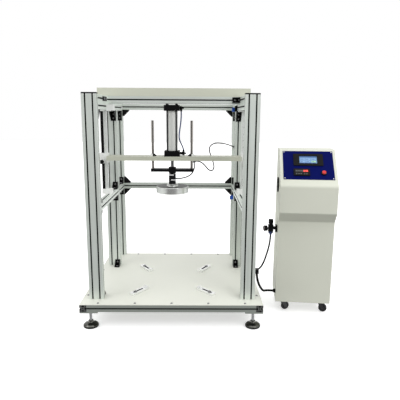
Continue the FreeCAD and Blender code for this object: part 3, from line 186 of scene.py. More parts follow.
def paint(name, color, rough=0.42, peel=0.05, speck=0.03, coat=0.0, spec=0.5):
    """Powder coat: faint orange peel, faint unevenness, a little dust."""
    m = Mat(name, color, rough, spec=spec, coat=coat, coat_rough=0.25)
    big = m.noise(2.2, 3, 0.55)
    fine = m.noise(650, 2, 0.5)
    f = m.remap(big, 0.3, 0.7, 0, 1)
    c1 = m.mix(f, shade(color, 1 - speck), shade(color, 1 + speck * 0.6))
    dust = m.remap(m.noise(180, 3, 0.7), 0.66, 0.8, 0, 0.18)
    m.base(m.mix(dust, c1, shade(color, 0.86)))
    m.roughness(m.remap(m.noise(9, 4, 0.6), 0.3, 0.7, rough - 0.06, rough + 0.08))
    m.bump(fine, peel, 0.0004)
    return m


def brushed(name, color, rough, axis, length=4.0, fine=900.0, metallic=1.0, strength=0.06, tone=0.05, spec=0.5):
    """Metal with draw lines along one axis."""
    m = Mat(name, color, rough, metallic, spec=spec)
    sc = [fine] * 3
    sc[axis] = length
    line = m.noise(1.0, 3, 0.6, m.mapped(tuple(sc)))
    wide = m.noise(1.0, 2, 0.5, m.mapped(tuple(length * 0.7 if i == axis else 60.0 for i in range(3))))
    cloud = m.noise(6, 3, 0.6)
    f = m.math("ADD", m.math("MULTIPLY", line, 0.6), m.math("MULTIPLY", wide, 0.4))
    m.base(m.mix(m.remap(f, 0.35, 0.65, 0, 1), shade(color, 1 - tone), shade(color, 1 + tone)))
    m.roughness(m.math("ADD", m.remap(line, 0.3, 0.7, rough - 0.05, rough + 0.05), m.remap(cloud, 0.3, 0.7, -0.03, 0.03)))
    m.bump(line, strength, 0.0003)
    return m


def plastic(name, color, rough=0.45, grain=900.0, strength=0.08, tone=0.12, coat=0.0, spec=0.3):
    m = Mat(name, color, rough, coat=coat, spec=spec)
    g = m.noise(grain, 3, 0.6)
    cl = m.noise(14, 3, 0.6)
    m.base(m.mix(m.remap(cl, 0.3, 0.7, 0, 1), shade(color, 1 - tone), shade(color, 1 + tone)))
    m.roughness(m.remap(m.noise(30, 4, 0.6), 0.3, 0.7, rough - 0.07, rough + 0.09))
    m.bump(g, strength, 0.0003)
    return m


def profile_mat(name, kind):
    """Anodised extrusion: draw lines run along each bar. kind: posts, beams, base; base is the same colour at half
    brightness, painted shade.
    """
    col = (0.75, 0.80, 0.75) if kind != "base" else (0.375, 0.405, 0.37)
    m = Mat(name, col, 0.36, 0.55)
    if kind == "posts":
        line = m.noise(1.0, 3, 0.6, m.mapped((850, 850, 3.0)))
        wide = m.noise(1.0, 2, 0.5, m.mapped((70, 70, 1.2)))
    else:
        sep = m.node("ShaderNodeSeparateXYZ")
        m.link(m.coords(), sep.inputs[0])
        ax = m.math("ABSOLUTE", m.math("SUBTRACT", sep.outputs[0], SX / 1000))
        side = m.math("GREATER_THAN", ax, 0.3895 if kind == "beams" else 0.4695)
        lx = m.noise(1.0, 3, 0.6, m.mapped((3.0, 850, 850)))
        ly = m.noise(1.0, 3, 0.6, m.mapped((850, 3.0, 850)))
        wx = m.noise(1.0, 2, 0.5, m.mapped((1.2, 70, 70)))
        wy = m.noise(1.0, 2, 0.5, m.mapped((70, 1.2, 70)))
        inv = m.math("SUBTRACT", 1.0, side)
        line = m.math("ADD", m.math("MULTIPLY", lx, inv), m.math("MULTIPLY", ly, side))
        wide = m.math("ADD", m.math("MULTIPLY", wx, inv), m.math("MULTIPLY", wy, side))
    f = m.math("ADD", m.math("MULTIPLY", line, 0.45), m.math("MULTIPLY", wide, 0.55))
    smudge = m.noise(11, 4, 0.65)
    c = m.mix(m.remap(f, 0.38, 0.62, 0, 1), shade(col, 0.93), shade(col, 1.05))
    c = m.mix(m.remap(smudge, 0.6, 0.78, 0, 0.35), c, shade(col, 0.84))
    m.base(c)
    m.roughness(m.math("ADD", m.remap(line, 0.3, 0.7, 0.33, 0.43), m.remap(smudge, 0.35, 0.75, -0.02, 0.07)))
    m.bump(line, 0.05, 0.0003)
    return m


M_POST = profile_mat("anodised_posts", "posts")
M_BEAM = profile_mat("anodised_beams", "beams")
# painted shade: the base frame and foot plates take the anodised colour at half brightness
M_BASE_SHADED = profile_mat("anodised_base_painted_shade", "base")
M_CREAM = paint("cream_powder_coat", (0.665, 0.68, 0.59), 0.42, spec=0.3)
# painted shade: the crossbeam takes the cream coat darkened to three quarters
M_CREAM_CROSSBEAM_SHADED = paint("crossbeam_cream_painted_shade", (0.50, 0.512, 0.425), 0.42, spec=0.3)
# painted shade: the top cover takes the cream coat a tenth darker
M_COVER_SHADED = paint("cover_cream_painted_shade", (0.60, 0.615, 0.515), 0.42, spec=0.3)
M_DECK = paint("deck_powder_coat", (0.72, 0.73, 0.66), 0.40, 0.05, 0.03, spec=0.3)
M_BRACKET = plastic("black_die_cast", (0.005, 0.005, 0.0055), 0.5, 1400, 0.25, 0.2, spec=0.14)
M_SCREW = brushed("zinc_screws", (0.26, 0.26, 0.265), 0.38, 2, 200, 900)
M_CHROME = brushed("bright_plate", (0.80, 0.81, 0.82), 0.14, 2, 30, 900, strength=0.02, tone=0.02)
M_RUBBER = plastic("black_rubber", (0.018, 0.018, 0.018), 0.72, 700, 0.2, 0.25)
M_DARKROD = brushed("dark_ground_steel", (0.23, 0.215, 0.20), 0.24, 2, 5, 900, tone=0.12)
M_TIE = brushed("tie_rod_steel", (0.035, 0.035, 0.036), 0.3, 2, 5, 900)
M_ROD = brushed("piston_rod_steel", (0.13, 0.13, 0.13), 0.2, 2, 5, 900, tone=0.08)
M_RAIL = brushed("ground_rail", (0.86, 0.88, 0.86), 0.3, 2, 4, metallic=0.6, strength=0.03)
M_BLACK = plastic("black_plastic", (0.004, 0.004, 0.0045), 0.45, 1100, 0.12, 0.2, spec=0.12)
M_PALE = plastic("pale_plastic", (0.82, 0.83, 0.81), 0.45, 900, 0.06, 0.03)
M_BARREL = brushed("barrel_tube", (0.66, 0.67, 0.64), 0.42, 2, 3, 500, metallic=0.3, strength=0.02, tone=0.02)
M_ANOBLACK = brushed("black_anodised", (0.004, 0.004, 0.0045), 0.4, 0, 6, 800, metallic=0.2, tone=0.2, spec=0.14)
M_WHITE = paint("white_coat", (0.80, 0.81, 0.79), 0.36, 0.04, 0.02)
M_SLOT = plastic("slot_shadow", (0.009, 0.010, 0.009), 0.6, 900, 0.1, 0.2, spec=0.15)
M_BLUEFACE = plastic("sensor_face", (0.02, 0.10, 0.50), 0.4, 900, 0.05, 0.08)
M_BOWL = plastic("regulator_bowl", (0.03, 0.05, 0.16), 0.2, 500, 0.02, 0.1, coat=0.4)
M_CELL = brushed("dark_cell", (0.03, 0.031, 0.034), 0.34, 0, 5, 800, tone=0.15)
M_CLAMP = brushed("zinc_clamps", (0.90, 0.91, 0.90), 0.24, 0, 30, 500, metallic=0.7)
M_BLUE = paint("deep_blue_panel", (0.0015, 0.0045, 0.088), 0.5, 0.06, 0.08, spec=0.03)
M_RED = plastic("red_button", (0.62, 0.02, 0.018), 0.28, 400, 0.02, 0.04, coat=0.3)
M_GREY = plastic("grey_plastic", (0.42, 0.44, 0.45), 0.5, 900, 0.08, 0.06)
M_SAWN = brushed("sawn_ends", (0.13, 0.135, 0.13), 0.5, 1, 400, 700, metallic=0.4, tone=0.2)
M_KEY = plastic("dark_keys", (0.07, 0.075, 0.075), 0.5, 900, 0.08, 0.1)
M_CASTOR = brushed("castor_plate", (0.10, 0.10, 0.105), 0.38, 2, 60, 600)
M_WHEEL = plastic("castor_tread", (0.03, 0.03, 0.032), 0.55, 500, 0.15, 0.2)
M_CABLE = plastic("black_sheath", (0.004, 0.004, 0.0045), 0.5, 300, 0.08, 0.2, spec=0.08)
M_CABLE_G = plastic("dark_sheath", (0.004, 0.004, 0.0045), 0.48, 300, 0.08, 0.15, spec=0.08)
M_FOOT = brushed("dark_foot", (0.11, 0.11, 0.10), 0.16, 2, 60, 600, tone=0.15)


def tube_mat():
    m = Mat("blue_air_tube", (0.008, 0.028, 0.12), 0.22, coat=0.25)
    cl = m.noise(40, 3, 0.6)
    m.base(m.mix(m.remap(cl, 0.3, 0.7, 0, 1), (0.006, 0.02, 0.095), (0.012, 0.042, 0.16)))
    m.roughness(m.remap(cl, 0.3, 0.7, 0.17, 0.3))
    m.bump(m.noise(500, 2), 0.03, 0.0003)
    return m


M_TUBE = tube_mat()


def turned(name, col, rough, centre, rings=2200.0, strength=0.12):
    """Lathe-turned metal: fine rings about the ram's axis."""
    m = Mat(name, col, rough, 1.0)
    mp = m.mapped((1, 1, 1), loc=(-centre[0], -centre[1], 0))
    sep = m.node("ShaderNodeSeparateXYZ")
    m.link(mp, sep.inputs[0])
    r = m.math("SQRT", m.math("ADD", m.math("MULTIPLY", sep.outputs[0], sep.outputs[0]),
                              m.math("MULTIPLY", sep.outputs[1], sep.outputs[1])))
    zz = m.math("ADD", r, m.math("MULTIPLY", sep.outputs[2], 1.0))
    comb = m.node("ShaderNodeCombineXYZ")
    m.link(m.math("MULTIPLY", zz, rings), comb.inputs[0])
    line = m.noise(1.0, 3, 0.6, comb.outputs[0])
    cl = m.noise(18, 4, 0.6)
    m.base(m.mix(m.remap(line, 0.35, 0.65, 0, 1), shade(col, 0.95), shade(col, 1.04)))
    m.roughness(m.math("ADD", m.remap(line, 0.3, 0.7, rough - 0.04, rough + 0.05), m.remap(cl, 0.35, 0.7, -0.02, 0.06)))
    m.bump(line, strength, 0.0003)
    return m


CENTRE = P(-15, 0, 0)
M_DISC = turned("turned_disc", (0.70, 0.71, 0.695), 0.28, CENTRE, 2200.0, 0.06)
# painted shade: the disc's top face is the same turned metal made near black
M_DISC_TOP_SHADED = turned("turned_disc_top_painted_shade", (0.06, 0.062, 0.058), 0.42, CENTRE)

# ------------------------------------------------------------------ CAD nodes' own finish
NODE_MATS = {
    "base_beams": M_BASE_SHADED, "deck_plate": M_DECK, "frame_screws": M_SCREW, "foot_plates": M_BASE_SHADED,
    "levelling_feet": M_FOOT, "foot_rubbers": M_RUBBER, "posts": M_POST, "upper_beams": M_BEAM,
    "top_cover": M_COVER_SHADED, "corner_gussets": M_BRACKET, "post_caps": M_BLACK, "guide_rails": M_RAIL,
    "guide_backing_bars": M_ANOBLACK, "rail_end_blocks": M_PALE, "limit_sensors": M_BLACK, "cable_glands": M_BLACK,
    "crossbeam": M_CREAM_CROSSBEAM_SHADED, "crossbeam_carriages": M_WHITE, "cylinder_end_caps": M_ANOBLACK, "cylinder_barrel": M_BARREL,
    "tie_rods": M_TIE, "guide_bushings": M_WHITE, "beam_fittings": M_BLACK, "clamp_knob_left": M_BLACK,
    "clamp_knob_right": M_BLACK, "piston": M_BARREL, "piston_rod": M_ROD, "guide_rods": M_DARKROD,
    "yoke_bar": M_ANOBLACK, "load_cell": M_CELL, "impact_disc": M_DISC,
    "specimen_clamp_front_left": M_CLAMP, "specimen_clamp_front_right": M_CLAMP,
    "specimen_clamp_rear_left": M_CLAMP, "specimen_clamp_rear_right": M_CLAMP,
    "cabinet_shell": M_CREAM, "rear_door": M_CREAM, "control_panel": M_BLUE, "hmi_housing": M_BLACK,
    "hmi_screen": M_BLACK, "counter_housing": M_BLACK, "stop_button": M_RED, "fan_guard": M_BLACK,
    "fan_rotor": M_BLACK, "regulator_body": M_BLACK, "regulator_knob": M_BLACK, "control_electronics": M_GREY,
}
for c in ("front_left", "front_right", "rear_left", "rear_right"):
    NODE_MATS["castor_fork_" + c] = M_CASTOR
    NODE_MATS["castor_wheel_" + c] = M_WHEEL

BEVEL = {
    "base_beams": 0.5, "posts": 0.5, "upper_beams": 0.5, "deck_plate": 0.8, "top_cover": 1.2, "corner_gussets": 0.8,
    "crossbeam": 1.2, "crossbeam_carriages": 1.0, "cylinder_end_caps": 1.0, "rail_end_blocks": 1.0, "guide_rails": 0.6,
    "yoke_bar": 1.2, "load_cell": 0.7, "foot_plates": 1.0, "control_panel": 0.4, "hmi_housing": 0.8, "counter_housing": 0.6,
    "stop_button": 1.6, "rear_door": 1.0, "cabinet_shell": 0.5, "limit_sensors": 0.5, "beam_fittings": 0.5,
    "clamp_knob_left": 1.2, "clamp_knob_right": 1.2, "regulator_knob": 0.8, "regulator_body": 0.6, "control_electronics": 0.8,
    "specimen_clamp_front_left": 0.7, "specimen_clamp_front_right": 0.7, "specimen_clamp_rear_left": 0.7,
    "specimen_clamp_rear_right": 0.7, "fan_guard": 0.5, "cable_glands": 0.8, "frame_screws": 0.25, "levelling_feet": 0.5,
    "guide_backing_bars": 0.4, "tie_rods": 0.4,
}


def smooth(mesh, deg=35):
    mesh.polygons.foreach_set("use_smooth", [True] * len(mesh.polygons))
    mesh.set_sharp_from_angle(angle=math.radians(deg))


def bevel(obj, width, segments=2, angle=38):
    b = obj.modifiers.new("edge", "BEVEL")
    b.width = width / 1000
    b.segments = segments
    b.limit_method = "ANGLE"
    b.angle_limit = math.radians(angle)
    b.harden_normals = False
    b.use_clamp_overlap = True
    w = obj.modifiers.new("normals", "WEIGHTED_NORMAL")
    w.keep_sharp = True
    return b


for name, mat in NODE_MATS.items():
    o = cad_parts[name]
    if not o.data.materials:
        o.data.materials.append(mat.m)
    for s in o.material_slots:
        s.material = mat.m
    smooth(o.data, 32)
    if name in BEVEL:
        bevel(o, BEVEL[name])

# ------------------------------------------------------------------ zones of a node


def zone(name, mat, test):
    """Give the polygons of a CAD node that pass a test another finish. Millimetres, about the gantry."""
    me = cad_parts[name].data
    if mat.m.name not in [m.name for m in me.materials]:
        me.materials.append(mat.m)
    k = [m.name for m in me.materials].index(mat.m.name)
    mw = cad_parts[name].matrix_world
    n = 0
    for p in me.polygons:
        c = mw @ p.center
        nn = mw.to_3x3() @ p.normal
        if test(c.x * 1000 - SX, c.y * 1000 - SY, c.z * 1000, nn):
            p.material_index = k
            n += 1
    return n


# each bar's box: (x0, x1, y0, y1, z0, z1, run)
POSTS = [(s * 430 - 40, s * 430 + 40, -375, -335, 150, 1291, 2) for s in (-1, 1)]
POSTS += [(s * 430 - 40, s * 430 + 40, 205, 245, 150, 1211, 2) for s in (-1, 1)]
POSTS += [(s * 410 - 20, s * 410 + 20, 440, 480, 150, 1211, 2) for s in (-1, 1)]
BEAMS = [(s * 410 - 20, s * 410 + 20, -335, 480, 1211, 1291, 1) for s in (-1, 1)]
BEAMS += [(-390, 390, 440, 480, 1218, 1258, 0), (-390, 390, -60, -20, 1251, 1291, 0), (-390, 390, 20, 60, 1251, 1291, 0),
          (-390, 390, 440, 480, 656, 696, 0)]
BEAMS += [(s * 410 - 20, s * 410 + 20, a, b, 656, 696, 1) for s in (-1, 1) for a, b in ((-335, 205), (245, 440))]
BASE = [(s * 490 - 20, s * 490 + 20, -450, 480, 107, 147, 1) for s in (-1, 1)]
BASE += [(-470, 470, y - 20, y + 20, 107, 147, 0) for y in (-430, -355, 0, 225, 460)]


def in_slot(bars):
    def test(x, y, z, n):
        for b in bars:
            if b[0] - 1 < x < b[1] + 1 and b[2] - 1 < y < b[3] + 1 and b[4] - 1 < z < b[5] + 1:
                q = (x, y, z)
                d = min(min(q[i] - b[2 * i], b[2 * i + 1] - q[i]) for i in range(3) if i != b[6])
                if d > 0.7 and abs(n[b[6]]) < 0.5:
                    return True
        return False
    return test


zone("posts", M_SLOT, in_slot(POSTS))
zone("upper_beams", M_SLOT, in_slot(BEAMS))
zone("base_beams", M_SLOT, in_slot(BASE))
zone("limit_sensors", M_BLUEFACE, lambda x, y, z, n: (x < 375 if y < 200 else x < 406) and abs(x - 390) < 45)
zone("levelling_feet", M_CHROME, lambda x, y, z, n: z > 40)
zone("regulator_body", M_BOWL, lambda x, y, z, n: 471 < z < 493 and x < 600)
# the clamps' long slots read dark
CLAMP_AT = {"front_left": ((-241, -320), (-163, -214)), "front_right": ((240, -318), (144, -213)),
            "rear_left": ((-238, 189), (-168, 84)), "rear_right": ((224, 186), (160, 74))}
for key, ((ax, ay), (bx, by)) in CLAMP_AT.items():
    ln = math.hypot(bx - ax, by - ay)
    ux, uy = (bx - ax) / ln, (by - ay) / ln
    zone("specimen_clamp_" + key, M_SLOT, lambda x, y, z, n: abs((y - ay) * ux - (x - ax) * uy) < 7.2
         and 16 < (x - ax) * ux + (y - ay) * uy < 102 and abs(n.z) < 0.5)
# painted shade on the disc's top face between boss and rim
zone("impact_disc", M_DISC_TOP_SHADED, lambda x, y, z, n: n.z > 0.9 and 36 < math.hypot(x + 15, y) < 97)
zone("base_beams", M_SAWN, lambda x, y, z, n: abs(x) > 469 and abs(n.y) > 0.9 and (y < -449 or y > 479))
zone("guide_bushings", M_BLACK, lambda x, y, z, n: z > 934.3 and abs(x + 15) < 119.5)

# ------------------------------------------------------------------ cords


def tube_mesh(name, line, r, seg=14):
    """A round tube along a line of points, its section carried along without twist."""
    bm = bmesh.new()
    n = len(line)
    tan = [(line[min(i + 1, n - 1)] - line[max(i - 1, 0)]).normalized() for i in range(n)]
    side = tan[0].orthogonal().normalized()
    rings = []
    for i in range(n):
        if i:
            side = tan[i - 1].rotation_difference(tan[i]) @ side
        side = (side - tan[i] * side.dot(tan[i])).normalized()
        up = tan[i].cross(side)
        rings.append([bm.verts.new(line[i] + (side * math.cos(2 * math.pi * k / seg) + up * math.sin(2 * math.pi * k / seg)) * r)
                      for k in range(seg)])
    for a, b in zip(rings, rings[1:]):
        for k in range(seg):
            j = (k + 1) % seg
            bm.faces.new((a[k], a[j], b[j], b[k]))
    bm.faces.new(list(reversed(rings[0])))
    bm.faces.new(rings[-1])
    me = bpy.data.meshes.new(name)
    bm.to_mesh(me)
    bm.free()
    return me


def cord(name, node, pts, dia, mat, body, second=None):
    cu = bpy.data.curves.new(name, "CURVE")
    cu.dimensions = "3D"
    sp = cu.splines.new("NURBS")
    sp.points.add(len(pts) - 1)
    for q, p in zip(sp.points, pts):
        v = P(*p)
        q.co = (v.x, v.y, v.z, 1)
    sp.order_u = 3
    sp.use_endpoint_u = True
    sp.resolution_u = 8
    o = bpy.data.objects.new(name, cu)
    scene.collection.objects.link(o)
    if second:
        bpy.context.view_layer.update()
        line_mesh = bpy.data.meshes.new_from_object(o)
        line = [v.co.copy() for v in line_mesh.vertices]
        bpy.data.objects.remove(o)
        me = tube_mesh(name, line, dia / 2000)
        me.materials.append(mat.m)
        smooth(me, 50)
        o = bpy.data.objects.new(name, me)
        scene.collection.objects.link(o)
        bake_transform(o)
    else:
        cu.bevel_depth = dia / 2000
        cu.bevel_resolution = 5
        cu.use_fill_caps = True
        cu.materials.append(mat.m)
        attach(o, body)
    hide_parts(node)
    return o


CAB_ANG = math.radians(-6)


def cab_pt(u, v, z):
    ca, sa = math.cos(CAB_ANG), math.sin(CAB_ANG)
    return (617.4 + u * ca - v * sa, -229.7 + u * sa + v * ca, z)


cord("air_tube", "ram_air_tube",
     [(41, 0, 1205), (41.3, 0, 1182), (40, -3, 1154), (37, -9, 1125), (33, -15, 1097), (29.5, -20, 1072),
      (28.5, -21.5, 1048), (33, -18, 1027), (42, -10.5, 1008), (50.5, -4, 990), (55, 0, 971)],
     8, M_TUBE, "crossbeam_unit")
cord("cell_cable", "load_cell_cable",
     [(14, 0, 793), (33, 0, 793), (55, 2, 797), (77, 6, 803), (98, 9, 814), (114, 11, 833), (122.5, 12, 857), (122, 12, 878), (121, 11, 893)],
     7, M_CABLE_G, "ram", "crossbeam_unit")
cord("cell_cable_rear", "load_cell_cable_rear",
     [(130, 11, 901), (146, 11, 901), (166, 16, 894), (185, 22, 877), (201, 30, 857), (216, 39, 841),
      (236, 50, 836), (248, 61, 854), (245, 69, 879), (236, 74, 904), (227, 76, 931), (218, 80, 955),
      (217, 87, 979), (229, 99, 997), (250, 114, 1006), (274, 138, 1007), (298, 172, 1003), (321, 214, 998),
      (342, 258, 991), (361, 304, 983), (380, 348, 974), (396, 382, 966.5), (407, 407, 961.5), (410, 426, 961)],
     7, M_CABLE_G, "crossbeam_unit", "machine")
cord("air_hose", "supply_hose",
     [cab_pt(-38, 84, 470), (587.3, -143.5, 440.5), (582, -149, 410), (574, -160, 382), (562, -177, 355), (549, -200, 331),
      (534, -228, 314), (518, -259, 305), (500, -291, 304), (486, -318, 309), (480, -342, 318)],
     10, M_CABLE, "machine")
cord("signal_lead", "signal_cable",
     [(480, -360, 304), (483, -357, 278), (490, -348, 250), (500, -333, 223), (512, -314, 199), (524, -291, 178),
      (535, -265, 161), (545, -237, 148), (558, -212, 139.5), (579, -197.3, 134.5), cab_pt(-16, 30, 133)],
     13, M_CABLE, "machine")

# ------------------------------------------------------------------ small pieces


def new_obj(name, bm, mat, body, matrix=None, bev=None, seg=2, deg=35, mats=None):
    me = bpy.data.meshes.new(name)
    bm.normal_update()
    bm.to_mesh(me)
    bm.free()
    for m in (mats or [mat]):
        me.materials.append(m.m)
    smooth(me, deg)
    o = bpy.data.objects.new(name, me)
    scene.collection.objects.link(o)
    if matrix is not None:
        o.matrix_world = matrix
    if bev:
        bevel(o, bev, seg)
    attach(o, body)
    return o


def add_box(bm, x0, y0, z0, x1, y1, z1, mi=0, k=0.001):
    vs = [bm.verts.new((x * k, y * k, z * k)) for x in (x0, x1) for y in (y0, y1) for z in (z0, z1)]
    for f in ((0, 1, 3, 2), (4, 6, 7, 5), (0, 4, 5, 1), (2, 3, 7, 6), (0, 2, 6, 4), (1, 5, 7, 3)):
        fc = bm.faces.new([vs[i] for i in f])
        fc.material_index = mi


def add_prism(bm, pts, z0, z1, mi=0, k=0.001):
    a = [bm.verts.new((x * k, y * k, z0 * k)) for x, y in pts]
    b = [bm.verts.new((x * k, y * k, z1 * k)) for x, y in pts]
    n = len(pts)
    fs = [bm.faces.new(list(reversed(a))), bm.faces.new(b)]
    for i in range(n):
        fs.append(bm.faces.new((a[i], a[(i + 1) % n], b[(i + 1) % n], b[i])))
    for f in fs:
        f.material_index = mi


def add_lathe(bm, prof, seg=40, cx=0, cy=0, z=0, mi=0, k=0.001, closed=False):
    """Turned piece: (radius, height) outline about Z."""
    rings = []
    for r, h in prof:
        if r < 1e-6:
            rings.append([bm.verts.new((cx * k, cy * k, (z + h) * k))])
        else:
            rings.append([bm.verts.new(((cx + r * math.cos(2 * math.pi * i / seg)) * k, (cy + r * math.sin(2 * math.pi * i / seg)) * k, (z + h) * k))
                          for i in range(seg)])
    for a, b in zip(rings, rings[1:] + ([rings[0]] if closed else [])):
        for i in range(seg):
            j = (i + 1) % seg
            if len(a) == 1 and len(b) == 1:
                continue
            if len(a) == 1:
                f = bm.faces.new((a[0], b[j], b[i]))
            elif len(b) == 1:
                f = bm.faces.new((a[i], a[j], b[0]))
            else:
                f = bm.faces.new((a[i], a[j], b[j], b[i]))
            f.material_index = mi
            f.smooth = True


def rrect(x0, y0, x1, y1, r, n=4):
    out = []
    for cx, cy, a0 in ((x1 - r, y0 + r, -90), (x1 - r, y1 - r, 0), (x0 + r, y1 - r, 90), (x0 + r, y0 + r, 180)):
        for i in range(n + 1):
            a = math.radians(a0 + 90 * i / n)
            out.append((cx + r * math.cos(a), cy + r * math.sin(a)))
    return out


def screw_shape(bm, x, y, z, r=4.0, h=2.4, sock=1.6):
    """Button head with a hex socket sunk in it."""
    add_lathe(bm, [(r * 0.55, h - 1.4), (r * 0.55, h - 0.1), (r * 0.72, h), (r * 0.93, h * 0.62), (r, h * 0.2), (r, 0)], 24, x, y, z)
    pts = [(x + r * 0.55 * math.cos(math.radians(60 * i)), y + r * 0.55 * math.sin(math.radians(60 * i))) for i in range(6)]
    add_prism(bm, pts, z + h - 1.6, z + h - 1.4)


MM = 0.001
CAB = Matrix.Translation(P(617.4, -229.7, 0)) @ Matrix.Rotation(CAB_ANG, 4, "Z")
SLOPE = math.atan2(195, 180)
SL_LEN = math.hypot(180, 195)
SY0 = (SL_LEN - 204) / 2 + 15
PAN = CAB @ Matrix.Translation(Vector((0, -50, 793)) * MM) @ Matrix.Rotation(SLOPE, 4, "X") @ Matrix.Translation(Vector((17, SY0, 0)) * MM)

# panel: corner screws, black ring round the button that is also painted shadow under its cap, display, keys, screen
bm = bmesh.new()
for x in (8, 280):
    for y in (8, 196):
        screw_shape(bm, x, y, 2.0, 3.6, 2.0)
new_obj("panel_screws", bm, M_CHROME, "machine", PAN)

# black collar round the stop button, also painted shadow under the red cap
bm = bmesh.new()
add_lathe(bm, [(15.4, 2.0), (16.2, 2.6), (16.2, 6.6), (15.6, 7.4), (12.2, 7.4), (11.5, 6.8), (11.5, 3.0)], 56, 228.5, 46)
new_obj("button_ring_and_shadow", bm, M_BLACK, "machine", PAN)


def emissive(name, col, strength, rough=0.25):
    m = Mat(name, col, rough)
    m.b.inputs["Emission Color"].default_value = (*col, 1)
    m.b.inputs["Emission Strength"].default_value = strength
    g = m.noise(120, 2)
    m.base(m.mix(m.remap(g, 0.3, 0.7, 0, 1), shade(col, 0.95), shade(col, 1.03)))
    m.bump(m.noise(900, 2), 0.02, 0.0002)
    return m


M_LCD = emissive("screen_ground", (0.13, 0.26, 0.47), 0.17)
M_LCD_W = emissive("screen_white", (0.20, 0.34, 0.54), 0.24)
M_LCD_D = emissive("screen_dark", (0.03, 0.09, 0.26), 0.12)
M_LCD_G = emissive("screen_green", (0.30, 0.52, 0.28), 0.28)
M_DIGIT = emissive("red_digits", (0.95, 0.05, 0.02), 2.2)
M_DARKGLASS = Mat("dark_window", (0.015, 0.004, 0.004), 0.08, coat=0.6)
M_DARKGLASS.bump(M_DARKGLASS.noise(300, 2), 0.01, 0.0002)
M_DARKGLASS.roughness(M_DARKGLASS.remap(M_DARKGLASS.noise(20, 3), 0.3, 0.7, 0.05, 0.14))

# touch screen: lit ground with plain fields, read as a page of an operator screen
bm = bmesh.new()
add_prism(bm, rrect(94.3, 111.3, 195.7, 164.7, 1.0), 2.0, 3.8, 0)
add_box(bm, 96, 156, 3.8, 194, 163, 4.0, 2)
for r_ in range(2):
    for c_ in range(3):
        x = 99 + c_ * 32
        y = 121 + r_ * 17
        add_box(bm, x, y, 3.8, x + 26, y + 11, 4.05, 3 if (c_, r_) == (2, 0) else 1)
        add_box(bm, x + 3, y + 3.5, 4.05, x + 15 + 4 * ((c_ + r_) % 2), y + 6.6, 4.15, 2)
for c_ in range(4):
    add_box(bm, 99 + c_ * 23, 113, 3.8, 99 + c_ * 23 + 19, 118, 4.05, 2)
scr = new_obj("screen_page", bm, M_LCD, "machine", PAN, mats=[M_LCD, M_LCD_W, M_LCD_D, M_LCD_G])
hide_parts("hmi_screen")

# bezel frame detail: raised lip
bm = bmesh.new()
outer = rrect(91.5, 108.5, 198.5, 167.5, 2.5)
inner = rrect(94.2, 111.2, 195.8, 164.8, 1.0)
n = len(outer)
vo0 = [bm.verts.new((x * MM, y * MM, 7.0 * MM)) for x, y in outer]
vo1 = [bm.verts.new((x * MM, y * MM, 7.9 * MM)) for x, y in outer]
vi1 = [bm.verts.new((x * MM, y * MM, 7.6 * MM)) for x, y in inner]
vi0 = [bm.verts.new((x * MM, y * MM, 3.9 * MM)) for x, y in inner]
for i in range(n):
    j = (i + 1) % n
    bm.faces.new((vo0[i], vo0[j], vo1[j], vo1[i]))
    bm.faces.new((vo1[i], vo1[j], vi1[j], vi1[i]))
    bm.faces.new((vi1[i], vi1[j], vi0[j], vi0[i]))
new_obj("screen_lip", bm, M_BLACK, "machine", PAN)

# counter: dark window, red digits, keys
bm = bmesh.new()
add_prism(bm, rrect(68.2, 48.2, 139.8, 64.8, 0.6), 2.2, 7.4)
new_obj("counter_window", bm, M_DARKGLASS, "machine", PAN)

SEGS = {"0": "abcdef", "1": "bc", "2": "abged", "3": "abgcd", "4": "fgbc", "5": "afgcd", "6": "afgedc", "7": "abc", "8": "abcdefg", "9": "abfgcd"}


def digit(bm, ch, x, y, w, h, z, t=1.1):
    g = 0.25
    m_ = h / 2
    seg = {"a": (t, h - t, w - t, h), "d": (t, 0, w - t, t), "g": (t, m_ - t / 2, w - t, m_ + t / 2),
           "f": (0, m_ + g, t, h - g), "b": (w - t, m_ + g, w, h - g), "e": (0, g, t, m_ - g), "c": (w - t, g, w, m_ - g)}
    for s in SEGS[ch]:
        x0, y0, x1, y1 = seg[s]
        add_box(bm, x + x0, y + y0, z, x + x1, y + y1, z + 0.12)


bm = bmesh.new()
for k, ch in enumerate("0120"):
    digit(bm, ch, 114.4 + k * 6.2, 51.6, 4.8, 10.2, 7.6, 1.0)
new_obj("counter_digits", bm, M_DIGIT, "machine", PAN)
M_REDGLASS = Mat("red_window", (0.16, 0.004, 0.004), 0.12, coat=0.5)
M_REDGLASS.b.inputs["Emission Color"].default_value = (0.5, 0.01, 0.01, 1)
M_REDGLASS.b.inputs["Emission Strength"].default_value = 0.5
M_REDGLASS.bump(M_REDGLASS.noise(300, 2), 0.01, 0.0002)
bm = bmesh.new()
add_prism(bm, rrect(112.4, 49.5, 139.4, 63.9, 0.8), 7.3, 7.55)
new_obj("counter_red_window", bm, M_REDGLASS, "machine", PAN)
bm = bmesh.new()
for r_ in range(2):
    for k in range(3):
        add_prism(bm, rrect(69.5 + k * 13, 31 + r_ * 19, 78.5 + k * 13, 40 + r_ * 19, 1.5), 8.6 - 1.4 * r_, 10.4)
for k in range(2):
    add_prism(bm, rrect(114 + k * 13, 31, 123 + k * 13, 38, 1.5), 8.6, 10.0)
new_obj("counter_keys", bm, M_KEY, "machine", PAN, bev=0.5)
